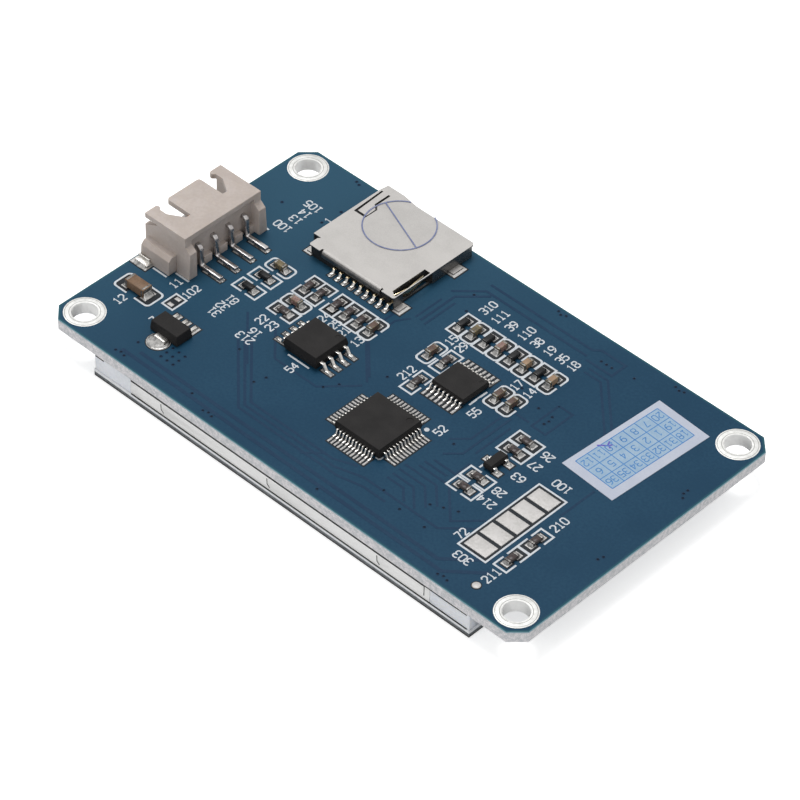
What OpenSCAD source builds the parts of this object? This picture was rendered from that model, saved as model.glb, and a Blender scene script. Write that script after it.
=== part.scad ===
// Touch display module: a display panel bonded face down under a component board.
// The origin is under the middle of the board, on the outer face of the touch film.
// +X runs from the wire connector to the service pads, +Y towards the card socket's
// mouth and +Z from the touch film up to the components.

/* [Circuit board] */
// Length of the board past the display, at the wire connector's end
wire_strip = 7.8; // [7.5:0.1:12]
// Length of the board past the display, at the service pads' end
pad_strip = 7.2; // [7:0.1:12]
// Distance that the board stands out past the display's long sides
board_margin = 0.15; // [0:0.05:3]
// Thickness of the circuit board
board_t = 1.6; // [0.8:0.1:2.4]
// Chamfer on each corner of the board
corner_cut = 1.75; // [0.5:0.05:2]
// Radius of the mounting holes
hole_r = 1.6; // [1.2:0.05:1.8]
// Distance from the board's edges to the centres of the mounting holes
hole_inset = 3.05; // [2.9:0.05:3.3]
// Width of the plated ring round each mounting hole
ring_w = 0.95; // [0.5:0.05:1]
// Thickness of the plating on pads, rings and hole walls
plating_t = 0.05; // [0.03:0.01:0.08]
// Thickness of the printed outlines
print_t = 0.03; // [0.02:0.01:0.05]
// Width of the printed lines
print_w = 0.24; // [0.12:0.01:0.3]

/* [Display panel] */
// Length of the display panel
display_l = 59.4; // [58:0.1:62]
// Width of the display panel
display_w = 42.6; // [42:0.1:42.8]
// Thickness of the touch film
film_t = 0.18; // [0.12:0.01:0.3]
// Height of the printed rim that keeps the film off the touch glass
film_rim_t = 0.06; // [0.06:0.01:0.12]
// Thickness of the touch glass
touch_glass_t = 0.36; // [0.3:0.02:0.7]
// Thickness of the foam gasket behind the touch glass
gasket_t = 0.4; // [0.2:0.05:0.8]
// Thickness of each polariser
polariser_t = 0.15; // [0.1:0.01:0.2]
// Thickness of each glass plate of the cell
cell_glass_t = 0.35; // [0.3:0.01:0.5]
// Thickness of the stack of diffuser sheets
diffuser_t = 0.2; // [0.1:0.02:0.3]
// Thickness of the light guide
guide_t = 0.53; // [0.5:0.01:0.8]
// Thickness of the reflector sheet
reflector_t = 0.1; // [0.06:0.01:0.15]
// Thickness of the stamped steel tray
tray_t = 0.2; // [0.12:0.01:0.25]
// Width of the light frame's wall beside the cell
frame_wall = 0.8; // [0.6:0.05:1.1]
// Width of the ledge that carries the cell
frame_ledge = 1.2; // [0.8:0.05:1.6]
// Length of each exposed corner of the light frame
frame_corner = 6; // [5:0.1:8]
// Thickness of the tape between the tray and the board
tape_t = 0.2; // [0.2:0.02:0.4]
// Width of the cell's bare edge that carries the driver chip
driver_edge = 3.2; // [3:0.1:3.6]
// Width of the ribbon that folds round the panel's end
ribbon_w = 26; // [18:0.5:27]
// Thickness of the ribbon
ribbon_t = 0.1; // [0.08:0.01:0.12]
// Width of the touch film's tail
tail_w = 5; // [3:0.5:6]

/* [Wire connector] */
// Number of pins in the wire connector
wire_pins = 4; // [2:1:5]
// Spacing of the wire connector's pins
wire_pitch = 2.5; // [2.4:0.05:2.6]
// Thickness of a wire connector pin
wire_pin_t = 0.5; // [0.4:0.02:0.6]
// Width of a wire connector pin
wire_pin_w = 0.6; // [0.5:0.02:0.8]
// Height of the wire connector
wire_h = 5.8; // [5.7:0.05:6.4]
// Depth of the wire connector's roof, from its mouth to its back edge
wire_depth = 6.8; // [6.6:0.1:8]
// Wall of the wire connector
wire_wall = 0.75; // [0.6:0.05:0.8]
// Half width of the tongue between the two key slots
wire_tongue = 2.65; // [2:0.05:3]
// Width of each key slot
wire_slot = 1.9; // [1.4:0.05:2]
// Sideways offset of the wire connector from the board's middle
wire_shift = 0.39; // [-1:0.01:1]

/* [Card socket] */
// Width of the card socket's shell
socket_w = 14.8; // [14.6:0.05:15.4]
// Depth of the card socket's shell
socket_d = 13.85; // [13.8:0.05:15]
// Height of the card socket
socket_h = 1.85; // [1.75:0.05:2.2]
// Thickness of the shell's sheet metal
shell_t = 0.2; // [0.15:0.01:0.25]
// Width of the card that the socket takes
card_w = 11; // [10.8:0.05:11.1]
// Thickness of the card that the socket takes
card_t = 0.75; // [0.7:0.01:0.9]
// Number of card contacts, the card switch's contact included
card_contacts_n = 9; // [8:1:9]
// Spacing of the card contacts
card_pitch = 1.1; // [1:0.01:1.1]
// Distance from the board's long edge to the shell's mouth
socket_inset = 0.5; // [0.4:0.05:2]

/* [Chips] */
// Body width of the square controller
controller_w = 7; // [6.6:0.1:7.2]
// Body height of the square controller
controller_h = 1.45; // [1:0.05:1.6]
// Body length of the logic buffer
buffer_l = 5; // [4.9:0.05:5.4]
// Body height of the logic buffer
buffer_h = 1; // [0.8:0.05:1.2]
// Body width of the memory chip
memory_w = 5.3; // [5.1:0.05:5.5]
// Body height of the memory chip
memory_h = 1.8; // [1.4:0.05:2]
// Body length of the voltage regulator
regulator_l = 4.5; // [4.3:0.05:4.7]
// Length of a small chip part
chip_l = 1.6; // [1.5:0.05:1.8]
// Width of a small chip part
chip_w = 0.8; // [0.7:0.05:0.85]
// Height of a chip resistor
resistor_h = 0.45; // [0.35:0.05:0.6]
// Height of a chip diode
diode_h = 0.65; // [0.4:0.05:0.7]
// Height of a chip capacitor
capacitor_h = 0.8; // [0.6:0.05:0.9]
// Length of the bulk capacitor
bulk_l = 3.1; // [3:0.05:3.4]
// Width of the bulk capacitor
bulk_w = 1.5; // [1.3:0.05:1.7]
// Height of the bulk capacitor
bulk_h = 1.2; // [1:0.05:1.6]
// Spacing of the service pads
service_pitch = 2.55; // [2.45:0.01:2.7]

/* [Hidden] */
$fn = 48;
eps = 0.01;
fit = 0.05;              // clearance between pieces that slip together
layer_gap = 0.02;        // clearance between the loose sheets of the display

// Heights from the outer face of the touch film
z_touch_glass = film_t + film_rim_t;
z_gasket = z_touch_glass + touch_glass_t;
z_frame = z_gasket + gasket_t;
z_front_glass = z_frame + fit + polariser_t;
z_rear_glass = z_front_glass + cell_glass_t;
z_ledge = z_rear_glass + cell_glass_t;
z_diffuser = z_ledge + polariser_t + layer_gap;
z_guide = z_diffuser + diffuser_t;
z_reflector = z_guide + guide_t;
z_tray = z_reflector + reflector_t;
z_tape = z_tray + tray_t;
z_board = z_tape + tape_t;
z_top = z_board + board_t;
z_pad = z_top + plating_t;

// The board reaches past the display on every side
board_l = display_l + wire_strip + pad_strip;
board_w = display_w + 2 * board_margin;
x_end = board_l / 2;
y_end = board_w / 2;

// Plan of the display, from the outside inwards
panel_x0 = wire_strip - x_end;
panel_x1 = x_end - pad_strip;
panel_y = display_w / 2;
touch_inset = -0.1;       // the touch panel overhangs the frame a little
gasket_w = 1.6;
cell_x0 = panel_x0 + tray_t + frame_wall + fit;
cell_x1 = panel_x1 - tray_t - frame_wall - fit;
cell_y = panel_y - tray_t - frame_wall - fit;
front_x0 = cell_x0 + driver_edge;
window_x0 = front_x0 + frame_ledge;
window_x1 = cell_x1 - frame_ledge;
window_y = cell_y - frame_ledge;
sheet_x0 = window_x0 - frame_ledge / 2;
sheet_x1 = cell_x1 - frame_ledge / 3;
sheet_y = cell_y - frame_ledge / 3;
guide_pocket_x0 = sheet_x0 - 1.6;
ribbon_y = -2;           // middle of the ribbon
ribbon_lands = 24;
tail_y = ribbon_y + ribbon_w / 2 + 0.8 + tail_w / 2;
strip_reach = 6.2;       // from the panel's end to the strips' soldered ends
frame_foot = [frame_corner - fit, 2.1];  // lengths of the feet at the two ends of the frame
frame_foot_w = 1.05;
clip_pitch = 17.2;
clip_x = -1.3;

// Places on the board, from the ends and from the card socket that the parts keep to
function from_wire_end(d) = d - x_end;
function from_pad_end(d) = x_end - d;
function under_socket(d) = socket_y0 - d;
hole_x = x_end - hole_inset;
hole_y = y_end - hole_inset;
mouth_x = from_wire_end(0.1);  // the wire connector's mouth
wire_side = 2.45;        // from the outer pins to the housing's sides
wire_w = (wire_pins - 1) * wire_pitch + 2 * wire_side;
wire_tip = 1.35;         // from the mouth to the pin tips
wire_back = wire_depth - 0.6;
wire_post_l = wire_depth + 0.8;
wire_floor = wire_wall;
wire_ledge_w = 1.4;
wire_cavity_w = wire_w - 2 * wire_wall;
wire_pin_z = 3.15;
wire_slot_d = 4;
wire_foot_end = 10.3;
socket_x0 = from_wire_end(13.45);
socket_x1 = socket_x0 + socket_w;
socket_y1 = y_end - socket_inset;
socket_y0 = socket_y1 - socket_d;
card_x1 = socket_x1 - 1.15;
card_x0 = card_x1 - card_w - 2 * fit;
card_z = socket_h - shell_t - card_t - 0.15;
card_wall_y = socket_y0 + 1.2;
contact_x0 = socket_x0 + 5.25;
contact_w = 0.4;
contact_t = 0.15;
card_floor_t = 0.3;
controller_pad = [1.5, 0.24];
buffer_pad = [1.6, 0.3];
memory_pad = [1.65, 0.55];
memory_lead_reach = 1.5;
memory_lead_z = 0.95;        // height of the leads' band above the board
buffer_lead_z = 0.55;
regulator_pitch = 1.5;
tab_pad_r = 1.45;
tab_pad_y = 0.8;             // distance of its centre from the body
print_reach = [2.2, 1.1];    // how much longer and wider an outline is than its chip
tail_reach = 0.75;           // length of the card contacts' tails in front of the shell
tail_shoulder = 0.62;        // height at which the tails leave the base
shell_roll = 0.3;            // inner radius of the shell's rolled front edge
shell_lip = 0.85;            // height of that edge
controller_at = [3.8, -8.55];
buffer_at = [5.45, 3.2];
memory_at = [from_wire_end(26.5), under_socket(11.05)];
regulator_at = [from_wire_end(12.8), -13.85];
transistor_at = [from_pad_end(20.2), -3.3];
bulk_at = [from_wire_end(4.65), -11.3];
jumper_at = [from_wire_end(9.15), -9.85];
service_at = [from_pad_end(12.55), -8.75];
service_n = 5;
mark_at = [from_pad_end(8.8), 2.85 - y_end];
label_size = [8, 15.5];
label_at = [from_pad_end(10.6), 9.6];
label_turn = -3.6;
seal_at = [socket_x0 + 6.25, socket_y1 - 3.95];
seal_r = 4.65;

// Chip capacitors and resistors: [x, y, turn] of each, with turn 90 along Y
small_row_x = -1.5;      // first of the eight parts in the upper row
small_row_pitch = 2;
small_row_y = 11.05;
CAPACITORS = [
    for (i = [0:3]) [small_row_x + (2 * i + 1) * small_row_pitch, small_row_y, 90],
    [-0.8, 5.05, 90], [9.75, 5.05, 90], [11.75, 5.05, 90],
    [from_wire_end(28.85), under_socket(4), 90],
    [from_wire_end(19.4), under_socket(7.15), 0],
    [from_wire_end(13.7), under_socket(4), 0]
];
RESISTORS = [
    [[1.45, 5.05, 90]],
    [[1.45, 0.2, 90]],
    [for (i = [0:1]) [from_wire_end(18.4 + i * 1.9), under_socket(4), 90]],
    [for (i = [0:2]) [from_wire_end(23 + i * 1.95), under_socket(4), 90]],
    [[from_wire_end(19.4), under_socket(9.15), 0]],
    [for (y = [1.75, -0.3]) [from_pad_end(20.1), y, 0]],
    [for (y = [-6.3, -8.5]) [from_pad_end(20.1), y, 0]],
    [for (y = [-9.1, -13]) [from_pad_end(8.75), y, 90]]
];
DIODES = [
    for (i = [0:3]) [small_row_x + 2 * i * small_row_pitch, small_row_y, 90],
    for (d = [6.5, 9.15]) [from_wire_end(13.6), under_socket(d), 0]
];

// ---------------------------------------------------------------- helpers

// Box between two opposite corners
module block(a, b) {
    translate(a) cube(b - a);
}

// Profile in X and Z, extruded along Y and centred on it
module along_y(width) {
    translate([0, width / 2, 0]) rotate([90, 0, 0]) linear_extrude(width) children();
}

// Profile in Y and Z, extruded along X from x0 to x1
module along_x(x0, x1) {
    translate([x0, 0, 0]) rotate([90, 0, 90]) linear_extrude(x1 - x0) children();
}

// Quarter ring in the first quadrant, the bend of a strip
module bend(r, t) {
    intersection() {
        difference() {
            circle(r + t);
            circle(r);
        }
        square(r + t + 1);
    }
}

module rect_between(a, b) {
    translate(a) square(b - a);
}

// Rectangle with round corners, all of exact arcs
module round_rect(size, r) {
    square([size[0] - 2 * r, size[1]], center = true);
    square([size[0], size[1] - 2 * r], center = true);
    for (sx = [-1, 1], sy = [-1, 1])
        translate([sx * (size[0] / 2 - r), sy * (size[1] / 2 - r)]) circle(r);
}

module place(at, z = 0) {
    translate([at[0], at[1], z]) rotate(len(at) > 2 ? at[2] : 0) children();
}

// Moulded chip body with drafted sides above and below its leads' flat band
module moulded_body(l, w, z0, h, band_z, band_t, draft) {
    intersection() {
        along_y(w + 1) body_profile(l, z0, h, band_z, band_t, draft);
        rotate(90) along_y(l + 1) body_profile(w, z0, h, band_z, band_t, draft);
    }
}

module body_profile(l, z0, h, band_z, band_t, draft) {
    e = l / 2;
    polygon([
        [draft - e, z0], [e - draft, z0], [e, band_z - band_t / 2], [e, band_z + band_t / 2],
        [e - draft, z0 + h], [draft - e, z0 + h], [-e, band_z + band_t / 2], [-e, band_z - band_t / 2]
    ]);
}

// Gull-wing lead along +X, from a body's side at x = 0 to its foot at x = reach
module gull_lead(reach, rise, t, w, foot) {
    knee = reach - foot;
    along_y(w) polygon([
        [0, rise - t / 2], [knee * 0.45, rise - t / 2], [knee - t * 0.3, 0], [reach, 0],
        [reach, t], [knee + t * 0.6, t], [knee * 0.45 + t * 0.9, rise + t / 2], [0, rise + t / 2]
    ]);
}

// Chip part along X: a ceramic body with slightly proud metal ends
module chip_part(l, w, h, end_l) {
    proud = 0.02;
    block([proud - l / 2, -w / 2, proud], [l / 2 - proud, w / 2, h - proud]);
    for (s = [-1, 1])
        translate([s * (l - end_l) / 2, 0, h / 2])
            cube([end_l, w + 2 * proud, h], center = true);
}

// ---------------------------------------------------------------- display

module touch_outline(inset = touch_inset) {
    rect_between([panel_x0 + inset, inset - panel_y], [panel_x1 - inset, panel_y - inset]);
}

module touch_film() {
    color("dimgray") {
        linear_extrude(film_t) touch_outline();
        translate([0, 0, film_t]) linear_extrude(film_rim_t) difference() {
            touch_outline();
            touch_outline(touch_inset + gasket_w);
            translate([panel_x0 - 1, tail_y - tail_w / 2 - fit])
                square([gasket_w + 2, tail_w + 2 * fit]);
        }
    }
}

module touch_glass() {
    color("slategray") translate([0, 0, z_touch_glass])
        linear_extrude(touch_glass_t) touch_outline();
}

// Strip that leaves the panel's end at z0, folds round it and lies under the board
module folded_strip(x_in, z0, t, x_out) {
    z1 = z_board - plating_t;
    r = (z1 - z0) / 2 - t;
    x = panel_x0 + touch_inset - fit;
    rect_between([x, z0], [x_in, z0 + t]);
    rect_between([x, z1 - t], [x_out, z1]);
    translate([x, z0 + t + r]) {
        mirror([1, 0]) bend(r, t);
        rotate(180) bend(r, t);
    }
}

module touch_tail() {
    tail_t = film_rim_t - 0.01;
    color("peru") translate([0, tail_y, 0]) along_y(tail_w)
        folded_strip(panel_x0 + gasket_w, film_t, tail_t, panel_x0 + strip_reach);
}

module panel_gasket() {
    color("white") translate([0, 0, z_gasket]) linear_extrude(gasket_t) difference() {
        touch_outline();
        touch_outline(touch_inset + gasket_w);
    }
}

module cell_plate(x0, x1, y, z, t) {
    block([x0, -y, z], [x1, y, z + t]);
}

module front_polariser() {
    color("black") cell_plate(front_x0 + 0.4, cell_x1 - 0.4, cell_y - 0.4, z_frame + fit, polariser_t);
}

module cell_front_glass() {
    color("lightslategray") cell_plate(front_x0, cell_x1, cell_y, z_front_glass, cell_glass_t);
}

module cell_rear_glass() {
    color("lightslategray") cell_plate(cell_x0, cell_x1, cell_y, z_rear_glass, cell_glass_t);
}

module rear_polariser() {
    color("black") cell_plate(window_x0 + fit, window_x1 - fit, window_y - fit, z_ledge, polariser_t);
}

module driver_chip() {
    chip = [1.1, 17, cell_glass_t - 0.05];
    color("dimgray") translate([front_x0 - 0.35 - chip[0], ribbon_y - chip[1] / 2, z_rear_glass - chip[2]])
        cube(chip);
}

module display_ribbon() {
    color("chocolate") translate([0, ribbon_y, 0]) along_y(ribbon_w)
        folded_strip(cell_x0 + 1.2, z_rear_glass - ribbon_t, ribbon_t, panel_x0 + strip_reach);
}

// White frame: a pocket for the cell in front, a ledge, and a pocket for the light guide behind
module light_frame() {
    wall_x0 = panel_x0 + tray_t;
    wall_x1 = panel_x1 - tray_t;
    wall_y = panel_y - tray_t;
    rim = 0.1;
    color("whitesmoke") difference() {
        union() {
            block([wall_x0, -wall_y, z_frame], [wall_x1, wall_y, z_tray]);
            for (sx = [0, 1], sy = [-1, 1]) frame_corner_post(sx, sy);
        }
        translate([0, 0, z_frame]) {
            block([cell_x0 - fit, -cell_y - fit, -eps], [cell_x1 + fit, cell_y + fit, z_ledge - z_frame]);
            block([window_x0, -window_y, -eps], [window_x1, window_y, z_tape - z_frame]);
        }
        block([guide_pocket_x0, -sheet_y - fit, z_diffuser], [sheet_x1 + fit, sheet_y + fit, z_tape]);
        for (s = [[ribbon_y, ribbon_w, z_rear_glass + fit], [tail_y, tail_w, z_frame + rim]])
            block([panel_x0 - 1, s[0] - s[1] / 2 - fit, z_frame - eps],
                  [cell_x0, s[0] + s[1] / 2 + fit, s[2]]);
    }
}

// Outer corner of the frame, flush with the tray and tall enough to touch the board
module frame_corner_post(sx, sy) {
    translate([sx == 0 ? panel_x0 : panel_x1, sy * panel_y, z_frame])
        mirror([sx, 0, 0]) mirror([0, sy > 0 ? 1 : 0, 0]) {
            cube([frame_corner - fit, tray_t, z_tray - z_frame]);
            cube([frame_foot[sx], frame_foot_w, z_board - z_frame]);
        }
}

module diffuser_sheets() {
    color("white") cell_plate(sheet_x0, sheet_x1, sheet_y, z_diffuser, diffuser_t);
}

module light_guide() {
    color("azure") cell_plate(sheet_x0, sheet_x1, sheet_y, z_guide, guide_t);
}

module backlight_leds() {
    led = [1.2, 3, guide_t - layer_gap];
    color("lemonchiffon") for (i = [-1.5:1.5])
        translate([sheet_x0 - led[0], i * 7.5 - led[1] / 2, z_guide]) difference() {
            cube(led);
            translate([led[0] - 0.25, 0.4, -eps]) cube([0.3, led[1] - 0.8, led[2] - 0.1]);
        }
}

module reflector_sheet() {
    color("silver") cell_plate(sheet_x0, sheet_x1, sheet_y, z_reflector, reflector_t);
}

// Steel back with two long walls, each slit by three L-shaped clips
module steel_tray() {
    wall_x0 = panel_x0 + frame_corner;
    wall_x1 = panel_x1 - frame_corner;
    color("gainsboro") difference() {
        union() {
            block([panel_x0 + tray_t, tray_t - panel_y, z_tray],
                  [panel_x1 - tray_t, panel_y - tray_t, z_tape]);
            for (s = [-1, 1]) mirror([0, s < 0 ? 1 : 0, 0])
                block([wall_x0, panel_y - tray_t, z_frame], [wall_x1, panel_y, z_tape]);
        }
        for (sx = [0, 1], sy = [-1, 1]) translate([sx == 0 ? panel_x0 : panel_x1, sy * panel_y, z_frame])
            cube([2 * (frame_foot[sx] + fit), 2 * (frame_foot_w + fit), 5], center = true);
        for (s = [-1, 1], i = [-1:1])
            translate([clip_x + i * clip_pitch, s * panel_y, z_frame]) clip_slit();
    }
}

module clip_slit() {
    h = z_tape - z_frame;
    along_y(3 * tray_t) polygon([
        [0, h * 0.75], [0.14, h * 0.75], [0.16, h * 0.4], [0.55, h * 0.22],
        [0.5, h * 0.15], [0.05, h * 0.33]
    ]);
}

module mounting_tape() {
    inset = 0.35;
    color("black") translate([0, 0, z_tape]) linear_extrude(tape_t) difference() {
        rect_between([panel_x0 + frame_foot[0] + inset, inset - panel_y],
                     [panel_x1 - frame_foot[1] - inset, panel_y - inset]);
        for (s = [[ribbon_y, ribbon_w], [tail_y, tail_w]])
            rect_between([panel_x0, s[0] - s[1] / 2 - 0.6],
                         [panel_x0 + strip_reach + 0.5, s[0] + s[1] / 2 + 0.6]);
    }
}

// ---------------------------------------------------------------- board

module board_outline() {
    polygon([for (q = [[1, 1], [-1, 1], [-1, -1], [1, -1]], k = [0, 1])
        let (c = q[0] * q[1] > 0 ? k : 1 - k)
        [q[0] * (x_end - corner_cut * c), q[1] * (y_end - corner_cut * (1 - c))]]);
}

module at_holes() {
    for (sx = [-1, 1], sy = [-1, 1]) translate([sx * hole_x, sy * hole_y, 0]) children();
}

module circuit_board() {
    color([0.17, 0.29, 0.39]) difference() {
        translate([0, 0, z_board]) linear_extrude(board_t) board_outline();
        at_holes() translate([0, 0, z_board - 1]) cylinder(r = hole_r + plating_t, h = board_t + 2);
    }
}

// Plated eyelet: a thin barrel with a ring on each face of the board
module hole_plating() {
    color("silver") at_holes() difference() {
        union() {
            translate([0, 0, z_board - plating_t])
                cylinder(r = hole_r + plating_t, h = board_t + 2 * plating_t);
            for (z = [z_board - plating_t, z_top])
                translate([0, 0, z]) cylinder(r = hole_r + ring_w, h = plating_t);
        }
        translate([0, 0, z_board - 1]) cylinder(r = hole_r, h = board_t + 2);
    }
}

module pad(x, y, l, w) {
    translate([x - l / 2, y - w / 2, z_top]) cube([l, w, plating_t]);
}

module solder_pads() {
    color("gainsboro") {
        for (p = concat(CAPACITORS, DIODES, [for (g = RESISTORS) each g])) place(p) chip_pads(chip_l, 1);
        place(bulk_at) chip_pads(bulk_l, bulk_w + 0.3);
        controller_pads();
        buffer_pads();
        memory_pads();
        regulator_pads();
        transistor_pads();
        wire_pads();
        socket_pads();
        for (i = [0:service_n - 1]) pad(service_at[0], service_y(i), 3.25, 2.05);
        for (s = [-1, 1]) pad(jumper_at[0], jumper_at[1] + s * 0.6, 0.75, 0.5);
        translate([mark_at[0], mark_at[1], z_top]) cylinder(r = 0.5, h = plating_t);
        ribbon_pads();
    }
}

module chip_pads(l, w) {
    for (s = [-1, 1]) pad(s * (l / 2 + 0.05), 0, 0.9, w);
}

function service_y(i) = service_at[1] + (i - (service_n - 1) / 2) * service_pitch;
function wire_y(i) = (i - (wire_pins - 1) / 2) * wire_pitch;
function contact_x(i) = contact_x0 + i * card_pitch;

module controller_pads() {
    place(controller_at) at_controller_leads() pad(1.1, 0, controller_pad[0], controller_pad[1]);
}

module buffer_pads() {
    place(buffer_at) at_buffer_leads() pad(0.95, 0, buffer_pad[0], buffer_pad[1]);
}

module memory_pads() {
    place(memory_at) at_memory_leads() pad(memory_lead_reach - 0.4, 0, memory_pad[0], memory_pad[1]);
}

module regulator_pads() {
    place(regulator_at) {
        for (i = [-1:1]) pad(i * regulator_pitch, regulator_w / 2 + 0.75, 1, 1.7);
        translate([0, -regulator_w / 2 - tab_pad_y, z_top]) cylinder(r = tab_pad_r, h = plating_t);
    }
}

module transistor_pads() {
    place(transistor_at) {
        pad(-1.15, 0, 1, 0.8);
        for (s = [-1, 1]) pad(1.15, s * 0.95, 1, 0.8);
    }
}

module wire_pads() {
    translate([mouth_x, wire_shift, 0]) {
        for (i = [0:wire_pins - 1]) pad(wire_foot_end - 1.35, wire_y(i), 3, 0.8);
        for (s = [-1, 1]) pad(1.4, s * (wire_w / 2 + wire_ledge_w + 0.65), 2.6, 1.3);
    }
}

module socket_pads() {
    for (i = [0:card_contacts_n - 1]) pad(contact_x(i), socket_y0 - tail_reach + 0.2, 0.6, 0.8);
    for (t = socket_tabs()) pad(t[0] + 0.5, t[1], 1.2, t[3] + 0.5);
}

module ribbon_pads() {
    x = panel_x0 + strip_reach - 1.4;
    for (i = [0:ribbon_lands - 1])
        translate([x, ribbon_y + (i - (ribbon_lands - 1) / 2) * ribbon_w / (ribbon_lands + 1) - 0.25,
                   z_board - plating_t])
            cube([1.8, 0.5, plating_t]);
    for (i = [-1.5:1.5]) translate([x, tail_y + i * tail_w / 4.4 - 0.3, z_board - plating_t])
        cube([1.8, 0.6, plating_t]);
}

// Printed frame round a part, open at the middle of its long sides;
// round corners mark the capacitors
module print_frame(size, round = false, gap = 0) {
    linear_extrude(print_t) difference() {
        if (round) round_rect(size + [print_w, print_w], 0.6);
        else square(size + [print_w, print_w], center = true);
        if (round) round_rect(size - [print_w, print_w], 0.45);
        else square(size - [print_w, print_w], center = true);
        if (gap > 0) square([gap, size[1] + 1], center = true);
    }
}

module print_line(x, y, l, w) {
    translate([x - l / 2, y - w / 2, 0]) cube([l, w, print_t]);
}

module printed_outlines() {
    outline = [chip_l, chip_w] + print_reach;
    color("white") translate([0, 0, z_top]) {
        for (p = CAPACITORS) place(p) print_frame(outline, true, 0.6);
        for (p = concat(DIODES, [for (g = RESISTORS) each g])) place(p) print_frame(outline, false, 0.6);
        place(bulk_at) print_frame([bulk_l + 2.7, 2.75], true, 1.3);
        place(jumper_at) print_frame([1.7, 2.3]);
        translate([service_at[0], service_at[1], 0])
            print_frame([4.1, service_n * service_pitch + 0.45]);
        place(controller_at) {
            translate([controller_w / 2 + 0.35, controller_w / 2 + 0.4, 0]) cylinder(r = 0.3, h = print_t);
            print_line(controller_w / 2 - 0.1, -controller_w / 2 - 1.7 - print_w, 1, print_w);
        }
        place(buffer_at) for (s = [-1, 1]) print_line(buffer_l / 2 + 0.3, s * 0.9, print_w, 1.2);
        place(memory_at) print_line(0.1, -memory_w / 2 - 0.25, 3.4, print_w);
        place(transistor_at) for (s = [-1, 1]) print_line(-0.95, s * 1.28, print_w, 0.65);
        translate([mouth_x, wire_shift, 0]) for (s = [-1, 1]) {
            print_line(4.1, s * (wire_w / 2 + wire_ledge_w + 0.25), 2.3, print_w);
            print_line(6.6, s * (wire_w / 2 + 0.4), 2.2, print_w);
        }
    }
}

// ---------------------------------------------------------------- wire connector

// Built with its mouth at x = 0, looking out along -X, and its floor at z = 0
module in_wire_frame() {
    translate([mouth_x, wire_shift, z_top]) children();
}

module wire_housing() {
    half = wire_w / 2;
    roof = wire_h - wire_wall;
    color("ivory") in_wire_frame() difference() {
        union() {
            block([0, -half, 0], [wire_depth, half, wire_h]);
            wire_side_ledges(half);
            wire_rear_posts(half);
        }
        block([-1, -wire_cavity_w / 2, wire_floor], [wire_back - wire_wall, wire_cavity_w / 2, roof]);
        for (s = [0, 1]) mirror([0, s, 0]) {
            translate([0, 0, roof - eps]) linear_extrude(wire_wall + 1) {
                key_slot();
                translate([0, wire_tongue]) mouth_corner();
                translate([0, wire_tongue + wire_slot - 0.35]) mirror([0, 1]) mouth_corner();
            }
            prong_gap(half, roof);
        }
        wire_rear_recess(half, roof);
        for (i = [0:wire_pins - 1]) translate([0, wire_y(i), 0]) {
            translate([wire_back, 0, wire_pin_z])
                cube([4, wire_pin_w + fit / 2, wire_pin_t + fit / 2], center = true);
            block([wire_back, -0.6, -1], [wire_depth + 2, 0.6, wire_pin_z + wire_pin_t + 0.3]);
        }
    }
}

// Drafted ledge along each side, where the solder tabs are held
module wire_side_ledges(half) {
    w = wire_ledge_w;
    h = 2.5;
    along_x(0.55, 5.3) polygon([
        [-half - w, 0], [half + w, 0], [half + w - 0.15, h - 0.5], [half + w - 0.65, h],
        [0.65 - half - w, h], [0.15 - half - w, h - 0.5]
    ]);
}

// Post at each rear corner, drafted on its outer side and sloped on top
module wire_rear_posts(half) {
    h = 4.4;
    draft_h = 3.75;
    x0 = wire_back - wire_wall;
    for (s = [0, 1]) mirror([0, s, 0]) intersection() {
        along_x(x0, wire_post_l) polygon([
            [half - 1.1, 0], [half + 0.25, 0], [half, draft_h], [half, h], [half - 1.1, h]
        ]);
        along_y(2 * half + 1) polygon([
            [x0, 0], [wire_post_l, 0], [wire_post_l, draft_h], [wire_depth, h], [x0, h]
        ]);
    }
}

// Key slot in the roof: straight, with a bump at the mouth and a slanted inner end
module key_slot() {
    far = wire_tongue + wire_slot;
    polygon([
        [-1, wire_tongue], [wire_slot_d, wire_tongue], [wire_slot_d, wire_tongue + 0.7],
        [wire_slot_d - 2, far], [0.85, far], [0.5, far - 0.35], [-1, far - 0.35]
    ]);
}

// Waste outside the round corner of a roof finger, whose side is at y = 0 and front at x = 0
module mouth_corner() {
    r = 0.4;
    difference() {
        translate([-1, -r]) square([1 + r, r]);
        translate([r, -r]) circle(r);
    }
}

// Wedge-shaped gap that frees each prong of the roof from the side wall
module prong_gap(half, roof) {
    translate([0, half, 0]) along_y(2 * wire_wall + 2 * eps) polygon([
        [-1, roof - 0.9], [0.3, roof - 0.9], [1.95, roof - 0.12], [1.95, roof], [-1, roof]
    ]);
}

// The back steps in under the roof, between the posts
module wire_rear_recess(half, roof) {
    inner = half - 1.1;
    along_y(2 * inner) polygon([
        [wire_back, 1.2], [wire_depth + 2, 1.2], [wire_depth + 2, roof], [wire_depth - 0.15, roof],
        [wire_back + 0.2, roof - 0.45], [wire_back, roof - 0.75]
    ]);
}

module wire_pins() {
    r = 0.25;
    t = wire_pin_t;
    x_leg = wire_back + 0.85;
    color("silver") in_wire_frame() for (i = [0:wire_pins - 1]) translate([0, wire_y(i), plating_t])
        along_y(wire_pin_w) wire_pin_profile(x_leg, t, r);
}

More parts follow.
